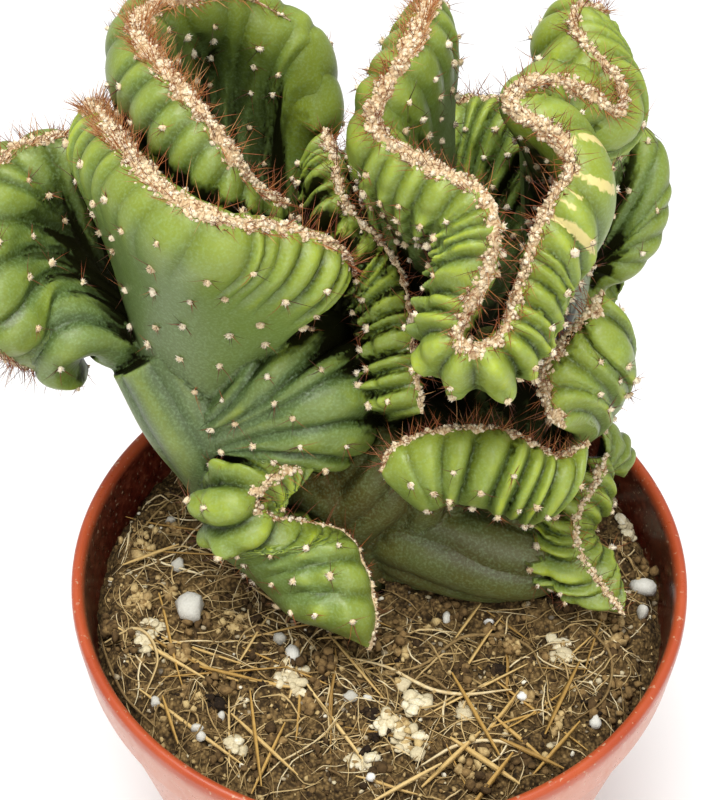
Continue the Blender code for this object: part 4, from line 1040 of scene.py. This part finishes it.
def potMaterial():
    # Injection-moulded polypropylene, terracotta coloured: satin outside and slightly translucent,
    # dark inside, partly a stain where the mix has stood against it and partly painted shade of the
    # inner wall, with dry dust along the lip. The outer wall below the lip is painted paler, painted light.
    plastic = newMaterial("mouldedPolypropylene")
    inside = addNode(plastic, "Attribute", {"attribute_name": "inside"}).outputs["Fac"]
    cloud = addNode(plastic, "TexNoise", {"Scale": 1.0, "Detail": 4.0}, {"Vector": patternSpace(plastic, 16)})
    grime = addNode(plastic, "TexNoise", {"Scale": 1.0, "Detail": 6.0, "Roughness": 0.7},
                    {"Vector": patternSpace(plastic, 2.4)})
    speck = addNode(plastic, "TexNoise", {"Scale": 1.0, "Detail": 2.0},
                    {"Vector": patternSpace(plastic, 1.1)})
    outer = addNode(plastic, "ValToRGB", {"stops": [(0.3, "#A84626"), (0.7, "#B85530")]}, {"Fac": cloud})
    # Inside the pot: a dark stain from the mix together with painted shade of the inner wall
    stainAndShade = addNode(plastic, "ValToRGB", {"stops": [
        (0.3, "#300C06"), (0.52, "#561A0E"), (0.7, "#7C3F2B")]}, {"Fac": grime})
    height = addNode(plastic, "SeparateXYZ", links={"Vector": patternSpace(plastic, 1)})
    # Painted light: the outer wall is made paler from just below the lip downward
    paintedLightAmount = addNode(plastic, "MapRange", {"span": (103.5, 100.5, 0.0, 0.36)}, {"Value": height.outputs["Z"]})
    paintedLightOuter = addNode(plastic, "MixRGB", {"Color2": "#DDAE92"}, {"Fac": paintedLightAmount, "Color1": outer})
    body = addNode(plastic, "MixRGB", {}, {"Fac": inside, "Color1": paintedLightOuter, "Color2": stainAndShade})
    dust = addNode(plastic, "MapRange", {"span": (0.65, 0.72, 0.0, 0.55)}, {"Value": speck})
    dusty = addNode(plastic, "MixRGB", {"Color2": "#CBB091"}, {"Fac": dust, "Color1": body})
    rough = addNode(plastic, "MapRange", {"span": (0.3, 0.7, 0.24, 0.42)}, {"Value": grime})
    bump = addNode(plastic, "Bump", {"Strength": 0.06, "Distance": 0.0005}, {"Height": grime})
    shader = addNode(plastic, "BsdfPrincipled", {
        "IOR": 1.49, "Subsurface Weight": 0.05, "Subsurface Scale": 0.003}, {
        "Base Color": dusty, "Roughness": rough, "Normal": bump})
    return finishMaterial(plastic, shader)


def innerRadius(height):
    low, high = 5.0, potLook["height"] - potLook["collar"] - potLook["step"]
    bottom = potLook["base"] - potLook["wall"] + 1.2
    top = potLook["rim"] - potLook["lip"] - 0.6
    return bottom + (top - bottom) * (height - low) / (high - low)


def turnedFaces(rings, steps):
    ring = np.arange(rings - 1)[:, None] * steps
    column = np.arange(steps)[None, :]
    after = (column + 1) % steps
    return np.stack([ring + column, ring + after, ring + steps + after, ring + steps + column],
                    axis=-1).reshape(-1, 4)


def roundedProfile(corners):
    # Softens each inner corner of a profile with a short curve
    smoothed = [corners[0]]
    for before, here, after in zip(corners, corners[1:], corners[2:]):
        before, here, after = (np.array(p, float) for p in (before, here, after))
        start, end = (here + unit(p - here) * min(0.45, np.linalg.norm(p - here) * 0.45)
                      for p in (before, after))
        for t in np.linspace(0, 1, 4):
            smoothed.append(tuple((1 - t) ** 2 * start + 2 * t * (1 - t) * here + t**2 * end))
    return smoothed + [corners[-1]]


def drillHoles(pot):
    # Drain holes through the floor
    work = bmesh.new()
    for k in range(potLook["holes"]):
        turn = 2 * math.pi * (k + 0.5) / potLook["holes"]
        place = Vector((math.cos(turn), math.sin(turn), 0)) * potLook["holeRing"] * mm
        radius = potLook["holeRadius"] * mm
        bmesh.ops.create_cone(work, cap_ends=True, segments=24, radius1=radius, radius2=radius, depth=8 * mm,
                              matrix=Matrix.Translation(place))
    mesh = bpy.data.meshes.new("drill")
    work.to_mesh(mesh)
    work.free()
    mesh.shade_smooth()
    drill = bpy.data.objects.new("drill", mesh)
    bpy.context.scene.collection.objects.link(drill)
    holes = pot.modifiers.new("drainHoles", "BOOLEAN")
    holes.object = drill
    holes.solver = "EXACT"
    pot.data = evaluatedMesh(pot)
    bpy.data.objects.remove(drill)
    print(len(pot.data.polygons), "faces in the pot with its drain holes")


def buildPot(plastic):
    top, rim, base, step = (potLook[key] for key in ("height", "rim", "base", "step"))
    collar, inside = top - potLook["collar"], rim - potLook["lip"]
    # Radius and height from the middle of the floor up the inside, over the lip and down to the middle
    profile = roundedProfile([
        (0.5, potLook["floor"]), (base - potLook["wall"] - 0.6, potLook["floor"]),
        (innerRadius(5.0), 5.0), (innerRadius(collar - step), collar - step),
        (inside - 0.2, top - 3.0), (inside + 0.3, top - 0.7), (inside + 1.0, top),
        (rim - 0.9, top), (rim - 0.2, top - 0.6), (rim, top - 2.4), (rim - 0.7, collar),
        (rim - step - 0.6, collar - 1.0), (base + 1.0, 4.2), (base + 0.2, 1.2), (base - 1.2, 0.0),
        (0.5, 0.0)])
    angle = np.linspace(0, 2 * math.pi, potLook["steps"], endpoint=False)
    turn = max(range(len(profile)), key=lambda i: profile[i][1] - 0.001 * i)
    points, inner = [], []
    for i, (radius, height) in enumerate(profile):
        points.append(np.stack([radius * np.cos(angle), radius * np.sin(angle),
                                np.full(len(angle), height)], axis=1))
        inner.append(np.full(len(angle), 1.0 if i < turn - 4 and height < top - 1.5 else 0.0))
    faces = turnedFaces(len(profile), potLook["steps"])
    pot = makePiece("nurseryPot", np.concatenate(points) * mm, faces, plastic,
                    {"inside": np.concatenate(inner)})
    closeEnds(pot.data)
    drillHoles(pot)
    pot.data.set_sharp_from_angle(angle=math.radians(40))
    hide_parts("pot")


# Growing mix

# The larger bits, at x and y in mm: cream crusts and charcoal with how far each spreads, perlite grains
# with their radii, and straws from end to end with their radii
crusts = [(-49, -15, 2.4), (-48, -10, 1.6), (-18, -25, 3.6), (3, -36, 4.2), (7, -30, 2.4), (-3, -43, 2.6),
          (55, 18, 2.6), (52, 24, 2.4), (-29, -40, 1.8), (38, -17, 2.2), (17, -33, 1.8)]
charcoal = [(-1, -38, 1.8), (-2, -34, 1.3), (-34, -30, 1.0), (24, -22, 1.2), (46, 4, 1.3)]
stones = [(-40, -7, 2.9), (57, -1, 3.0), (-18, -19, 2.3), (56, -8, 1.8), (-44, 6, 1.6), (-6, -29, 1.6),
          (-21, -14, 1.9), (29, -29, 1.5)]
longStraws = [
    ((41.5, -20.8), (32.8, -38.8), 0.75), ((21.8, -5.5), (15.9, -15.5), 0.6), ((14.9, -24), (23.5, -44), 0.6),
    ((23.8, -40), (36, -46), 0.65), ((14, -38.8), (27, -50), 0.8), ((-26.4, -28), (-23, -51), 0.6),
    ((-30, -33), (-16, -49), 0.55), ((-25, -52), (-19, -36), 0.5), ((-44, -30), (-40, -41), 0.55),
    ((30, -47), (40, -36), 0.6), ((8, -50), (20, -38), 0.7), ((-2, -54), (12, -46), 0.6),
    ((-38, -22), (-24, -27), 0.5), ((-56, 5), (-44, 10), 0.5), ((16, -56), (26, -44), 0.7),
]
longFibres = [
    [(1.7, -23), (9.4, -21.5), (17.4, -14.5), (25.4, -13.6), (31.4, -17), (34, -24)],
    [(-6, -20), (2, -22), (10, -27), (18, -29), (27, -27)],
    [(-60.2, -8), (-57, -18), (-52, -28), (-45, -36)],
    [(-58, -14), (-50, -13), (-46, -20), (-48, -29)],
    [(8, -45), (14, -41), (22, -40), (30, -43)],
    [(44, -12), (48, -20), (46, -29), (39, -35)],
]

mixLook = {
    "level": 94.6,                   # mm above the pot's foot
    "edgeDrop": 5.4, "edge": 7.0,    # how far it sinks at the wall, and over what width
    "wallGap": 0.4,
    "rings": 92, "steps": 400,
    "bodyGap": 0.0004,               # metres between the plant and what lies on the mix
    "fibres": 800, "straws": 72, "crumbs": 3200, "grit": 420, "perlite": 16, "clods": 90,
}


def mixHeight(x, y):
    # Height of the mix in mm at x, y in mm: clods, crumbs and grit, sinking at the wall
    radius = math.hypot(x, y)
    place = Vector((x, y, 3.1))
    clod = noise.fractal(place / 11, 1.0, 2.0, 3)
    crumb = noise.fractal(place / 3.1, 0.8, 2.0, 3)
    grit = noise.noise(place / 0.9)
    edge = innerRadius(mixLook["level"]) - 0.3
    sink = float(ramp(radius, edge - mixLook["edge"], edge)) ** 1.5 * mixLook["edgeDrop"]
    return mixLook["level"] + 1.7 * clod + 1.5 * crumb + 0.3 * grit - sink - 0.7


def mixMaterial():
    # Dry peat and loam: matt brown crumbs, paler where they have dried, with painted shade nearly black in
    # the gaps between them
    mix = newMaterial("dryPeatAndLoam")
    crumb = addNode(mix, "TexNoise", {"Scale": 1.0, "Detail": 6.0, "Roughness": 0.72},
                    {"Vector": patternSpace(mix, 3.6)})
    grain = addNode(mix, "TexVoronoi", {"Scale": 1.0}, {"Vector": patternSpace(mix, 0.8)})
    grit = addNode(mix, "MapRange", {"span": (0.0, 0.8, 0.62, 0.30)}, {"Value": grain.outputs["Distance"]})
    both = addNode(mix, "Math", {"operation": "ADD"}, {0: crumb, 1: grit})
    level = addNode(mix, "Math", {"operation": "MULTIPLY", 1: 0.52}, {0: both})
    # The colour follows the same field as the bump, so the low gaps carry painted shade
    shade = addNode(mix, "ValToRGB", {"stops": [
        (0.30, "#140E07"), (0.43, "#40311C"), (0.55, "#7A623C"), (0.69, "#B89C68")]}, {"Fac": level})
    bump = addNode(mix, "Bump", {"Strength": 0.8, "Distance": 0.0007}, {"Height": both})
    shader = addNode(mix, "BsdfPrincipled", {"Roughness": 0.95, "Specular IOR Level": 0.2},
                     {"Base Color": shade, "Normal": bump})
    return finishMaterial(mix, shader)


# What lies on the mix: its colours from dark to pale bits, the size of its mottle in mm and its roughness
litterLook = {
    # Coconut husk fibre, washed and dried: straw brown with a faint gloss
    "dryCoirFibre": ([(0.0, "#6A5333"), (0.35, "#A08555"), (0.7, "#C8AD78"), (1.0, "#E6D6AE")], 1.2, 0.75),
    # Broken grass stalks, dried: golden and the glossiest of them
    "driedStraw": ([(0.0, "#8A6A38"), (0.5, "#B8924E"), (1.0, "#D9BC80")], 1.6, 0.55),
    # Crumbled loam: matt, from nearly black to dry tan
    "loamCrumbs": ([(0.0, "#21170E"), (0.35, "#5A4529"), (0.7, "#8F7348"), (1.0, "#C9B07B")], 0.9, 0.95),
    # Crushed stone and cream crust: dusty and pale
    "paleGrit": ([(0.0, "#6B6152"), (0.4, "#A8987A"), (0.8, "#D6C9A4"), (1.0, "#ECE6D2")], 0.6, 0.85),
    # Volcanic glass puffed up by heat: white and matt as chalk
    "expandedPerlite": ([(0.0, "#B2AEA0"), (0.5, "#D0CDC1"), (1.0, "#E9E7DF")], 0.5, 0.9),
}


def litterMaterial(name):
    # Each bit has its own tint, and a mottle runs through them all
    stops, mottleSize, roughness = litterLook[name]
    litter = newMaterial(name)
    own = addNode(litter, "Attribute", {"attribute_name": "tint"}).outputs["Fac"]
    mottle = addNode(litter, "TexNoise", {"Scale": 1.0, "Detail": 4.0, "Roughness": 0.65},
                     {"Vector": patternSpace(litter, mottleSize)})
    shift = addNode(litter, "Math", {"operation": "MULTIPLY_ADD", 1: 0.7, 2: -0.35}, {0: mottle})
    tint = addNode(litter, "Math", {"operation": "ADD", "use_clamp": True}, {0: own, 1: shift})
    shade = addNode(litter, "ValToRGB", {"stops": stops}, {"Fac": tint})
    bump = addNode(litter, "Bump", {"Strength": 0.5, "Distance": 0.0004}, {"Height": mottle})
    shader = addNode(litter, "BsdfPrincipled", {"Roughness": roughness, "Specular IOR Level": 0.25},
                     {"Base Color": shade, "Normal": bump})
    return finishMaterial(litter, shader)


def fibreArrays(routes, radii, tints):
    # Thin stalks with three sides that narrow to both ends
    points, faces, marks, first = [], [], [], 0
    for route, radius, tint in zip(routes, radii, tints):
        route = np.asarray(route)
        tangent = unit(np.gradient(route, axis=0))
        side, other = frameOf(tangent)
        count = len(route)
        taper = radius * (0.35 + 0.65 * np.sin(np.linspace(0.12, math.pi - 0.12, count)))[:, None]
        points += ringAround(route, side, other, taper)
        ring = np.arange(count - 1)
        for k in range(3):
            a, b = first + k * count + ring, first + (k + 1) % 3 * count + ring
            faces.append(np.stack([a, b, b + 1], axis=1))
            faces.append(np.stack([a, b + 1, a + 1], axis=1))
        first += 3 * count
        marks.append(np.full(3 * count, tint))
    return np.concatenate(points), np.concatenate(faces), {"tint": np.concatenate(marks)}


def mixEdge():
    return innerRadius(mixLook["level"]) - mixLook["wallGap"]


def heightsAlong(route):
    return np.array([mixHeight(*place[:2]) for place in route])


def evened(values, weights):
    return np.convolve(np.pad(values, len(weights) // 2, mode="edge"), weights, "valid")


def restingLine(along, heights, share):
    # A straight line laid over the heights, which sinks between the highest of them
    line = np.polyval(np.polyfit(along, heights, 1), along)
    return line + max(0.0, (heights - line).max() * share)


def liesFree(route, bodyTree, wallGap, bodyGap):
    return (np.hypot(route[:, 0], route[:, 1]).max() <= mixEdge() - wallGap
            and min(outsideBy(bodyTree, tuple(p * mm)) for p in route) >= bodyGap)


def freeSpot(bodyTree, rng, reach=0.97):
    # A place on the mix that no stem covers
    while True:
        radius, a = mixEdge() * reach * math.sqrt(rng.uniform()), rng.uniform(0, 2 * math.pi)
        x, y = radius * math.cos(a), radius * math.sin(a)
        z = mixHeight(x, y)
        if outsideBy(bodyTree, (x * mm, y * mm, z * mm)) > mixLook["bodyGap"]:
            return x, y, z


def layFibres(bodyTree, rng):
    # Coir and root hairs, curled over the surface
    routes, radii = [], []
    while len(routes) < mixLook["fibres"]:
        x, y, _ = freeSpot(bodyTree, rng)
        heading, turn = rng.uniform(0, 2 * math.pi), rng.normal(0, 0.17)
        length = 5 + 22 * rng.beta(1.2, 2.2)
        route = []
        for t in np.linspace(0, 1, 9):
            lift = rng.uniform(0.0, 0.5) + 1.6 * math.sin(math.pi * t) * rng.uniform(0.2, 1)
            route.append((x, y, mixHeight(x, y) + lift))
            heading += turn + rng.normal(0, 0.16)
            x += math.cos(heading) * length / 8
            y += math.sin(heading) * length / 8
        route = np.array(route)
        route[:, 2] = evened(route[:, 2], [0.25, 0.5, 0.25])
        if liesFree(route, bodyTree, 0.3, mixLook["bodyGap"]):
            routes.append(route * mm)
            radii.append((0.09 + 0.26 * rng.beta(1.2, 2.8)) * mm)
    for places in longFibres:
        route = smoothCurve([(*p, 0.0) for p in places], np.linspace(0, 1, 24))
        route[:, 2] = evened(heightsAlong(route), np.full(7, 1 / 7)) + 1.6
        routes.append(route * mm)
        radii.append(0.42 * mm)
    fibres = fibreArrays(routes, radii, rng.uniform(0, 1, len(routes)))
    makeFrom("coirFibres", [fibres], litterMaterial("dryCoirFibre"))


def layStraws(bodyTree, rng):
    # Straws and broken stalks, straighter and thicker
    routes, radii = [], []
    for (x, y), (farX, farY), radius in longStraws:
        across = np.linspace(0, 1, 8)
        route = np.stack([x + (farX - x) * across, y + (farY - y) * across, 0 * across], axis=1)
        route[:, 2] = restingLine(across, heightsAlong(route), 0.6) + 1.0 + 1.2 * across
        routes.append(route * mm)
        radii.append(0.85 * radius * mm)
    while len(routes) < mixLook["straws"]:
        x, y, _ = freeSpot(bodyTree, rng, 0.85)
        heading, length = rng.uniform(0, 2 * math.pi), rng.uniform(9, 30)
        across = np.linspace(-0.5, 0.5, 7)[:, None] * length
        route = np.array([[x, y, 0]]) + across * np.array([[math.cos(heading), math.sin(heading), 0]])
        route += np.sin(across / length * 3.1) * rng.normal(0, 0.8) * np.array(
            [[-math.sin(heading), math.cos(heading), 0]])
        route[:, 2] = restingLine(across[:, 0], heightsAlong(route), 0.5) + 0.5
        if liesFree(route, bodyTree, 1.0, 2 * mixLook["bodyGap"]):
            routes.append(route * mm)
            radii.append(rng.uniform(0.25, 0.55) * mm)
    straws = fibreArrays(routes, radii, rng.uniform(0.1, 1, len(routes)))
    makeFrom("strawStalks", [straws], litterMaterial("driedStraw"))


def strewLoam(bodyTree, rng):
    # Single crumbs all over, and clods of them, some of which are charcoal
    edge = mixEdge()
    places = np.array([freeSpot(bodyTree, rng) for _ in range(mixLook["crumbs"])])
    size = 0.20 + 1.1 * rng.beta(1.2, 4.5, len(places))
    loam = litterMaterial("loamCrumbs")
    parts = [lumpArrays((places + [0, 0, 0.1]) * mm, size * mm, rng)]
    clods = [(freeSpot(bodyTree, rng, 0.93), rng.uniform(0.8, 2.2), rng.uniform(0.25, 0.95))
             for _ in range(mixLook["clods"])]
    clods += [((x, y, mixHeight(x, y)), spread, 0.0) for x, y, spread in charcoal]
    for middle, spread, shade in clods:
        around = middle + rng.normal(0, 1, (14, 3)) * [spread, spread, 0.35 * spread] + [0, 0, 0.4]
        around = [p for p in around if outsideBy(bodyTree, tuple(p * mm)) > 0.0006
                  and math.hypot(p[0], p[1]) < edge - 1.8]
        if around:
            tints = np.clip(shade + rng.normal(0, 0.1, len(around)), 0, 1)
            size = rng.uniform(0.5, 1.25, len(around)) * mm
            parts.append(lumpArrays(np.array(around) * mm, size, rng, tints=tints))
    makeFrom("loamCrumbs", parts, loam)


def strewGrit(bodyTree, rng):
    # Pale grit, and cream crusts that have broken up where they lie
    places = np.array([freeSpot(bodyTree, rng) for _ in range(mixLook["grit"])])
    parts = [lumpArrays((places + [0, 0, 0.3]) * mm, rng.uniform(0.2, 0.75, len(places)) * mm, rng)]
    for x, y, spread in crusts:
        lean = rng.uniform(0, math.pi)
        turn = np.array([[math.cos(lean), math.sin(lean)], [-math.sin(lean), math.cos(lean)]])
        around = (rng.normal(0, 0.6 * spread, (int(13 * spread), 2)) * [1, 0.55]) @ turn + [x, y]
        around = around[np.hypot(*around.T) < mixEdge() - 1.8]
        if len(around):
            around = np.array([(*p, mixHeight(*p) + rng.uniform(0.1, 0.9)) for p in around])
            parts.append(lumpArrays(around * mm, rng.uniform(0.5, 1.6, len(around)) * mm, rng, 2, 0.10,
                                    rng.uniform(0.6, 0.88, len(around)), 0.5))
    makeFrom("paleGrit", parts, litterMaterial("paleGrit"))


def strewPerlite(bodyTree, rng):
    places = np.array([freeSpot(bodyTree, rng, 0.9) for _ in range(mixLook["perlite"])])
    size = rng.uniform(0.7, 1.5, len(places))
    places = np.vstack([places, [(x, y, mixHeight(x, y) + 0.3 * radius) for x, y, radius in stones]])
    size = np.concatenate([size, [radius for _, _, radius in stones]])
    grains = lumpArrays((places + [0, 0, 0.4]) * mm, size * mm, rng, 2, 0.09)
    makeFrom("perliteGrains", [grains], litterMaterial("expandedPerlite"))


def buildMix(earth):
    # Rings over the surface, then down the wall and in under the bottom
    edge, steps = mixEdge(), mixLook["steps"]
    angle = np.linspace(0, 2 * math.pi, steps, endpoint=False)
    points = []
    for radius in np.linspace(0.012, 1, mixLook["rings"]) ** 0.85 * edge:
        for a in angle:
            x, y = radius * math.cos(a), radius * math.sin(a)
            points.append((x, y, mixHeight(x, y)))
    for height in (80.0, 50.0, 5.6, 2.5):
        side = innerRadius(max(height, 5.6)) - mixLook["wallGap"]
        points += [(side * math.cos(a), side * math.sin(a), height) for a in angle]
    points += [(5 * math.cos(a), 5 * math.sin(a), 2.5) for a in angle]
    faces = turnedFaces(len(points) // steps, steps)
    mix = makePiece("growingMix", np.array(points) * mm, faces, earth)
    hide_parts("growing_mix")


# Camera, floor and light

studioLook = {
    "room": 0.44,            # how bright the room is on all sides
    "panels": {              # place, size in metres and watts
        "topPanel": ((-0.12, -0.10, 1.25), 0.70, 15.0),
        "frontPanel": ((0.30, -1.05, 0.80), 0.80, 6.3),
    },
    "aim": (0, 0, 0.13),
    "camera": (-0.0033, -0.2139, 0.3702),
    "lookDown": 45.61,       # degrees below the horizon
    "lens": 72,
    "sensor": 36,
}


def buildStudio():
    # Matt painted board, nearly white, so that the shadow is soft and the colours stay true
    floorShade = newMaterial("paleStudioFloor")
    shader = addNode(floorShade, "BsdfPrincipled", {"Base Color": "#FBFBFA", "Roughness": 0.85})
    finishMaterial(floorShade, shader)
    bpy.ops.mesh.primitive_plane_add(size=6)
    floor = bpy.context.object
    floor.name = "studioFloor"
    floor.data.materials.append(floorShade)

    world = bpy.data.worlds.new("softRoom")
    world.use_nodes = True
    sky = world.node_tree.nodes["Background"]
    sky.inputs["Color"].default_value = linearColour("#FFFFFF")
    sky.inputs["Strength"].default_value = studioLook["room"]
    bpy.context.scene.world = world
    for name, (place, size, power) in studioLook["panels"].items():
        light = bpy.data.lights.new(name, "AREA")
        light.shape = "SQUARE"
        light.size = size
        light.energy = power
        lamp = bpy.data.objects.new(name, light)
        lamp.location = place
        lamp.rotation_euler = (Vector(studioLook["aim"]) - Vector(place)).to_track_quat("-Z", "Y").to_euler()
        bpy.context.scene.collection.objects.link(lamp)

    lens = bpy.data.cameras.new("photoCamera")
    lens.lens = studioLook["lens"]
    lens.sensor_width = studioLook["sensor"]
    lens.clip_start = 0.01
    camera = bpy.data.objects.new("photoCamera", lens)
    camera.location = studioLook["camera"]
    camera.rotation_euler = (math.radians(90 - studioLook["lookDown"]), 0, 0)
    bpy.context.scene.collection.objects.link(camera)
    bpy.context.scene.camera = camera
    bpy.context.scene.view_settings.view_transform = "Standard"


skin, wool, spine = skinMaterial(), woolMaterial(), spineMaterial()
bodyPieces, bodyTree = buildBody(skin)
for bodyPiece in bodyPieces:
    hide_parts("cactus")

crest = buildCrest(wool, spine, bodyTree)
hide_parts(*[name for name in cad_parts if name.startswith("crest_wool_")])
print("crest done")

buildAreoles(wool, spine, bodyTree)
print("areoles done")

buildPot(potMaterial())
print("pot done")

buildMix(mixMaterial())
litterDraws = np.random.default_rng(47)
for layLitter in (layFibres, layStraws, strewLoam, strewGrit, strewPerlite):
    layLitter(bodyTree, litterDraws)
print("growing mix done")

buildStudio()
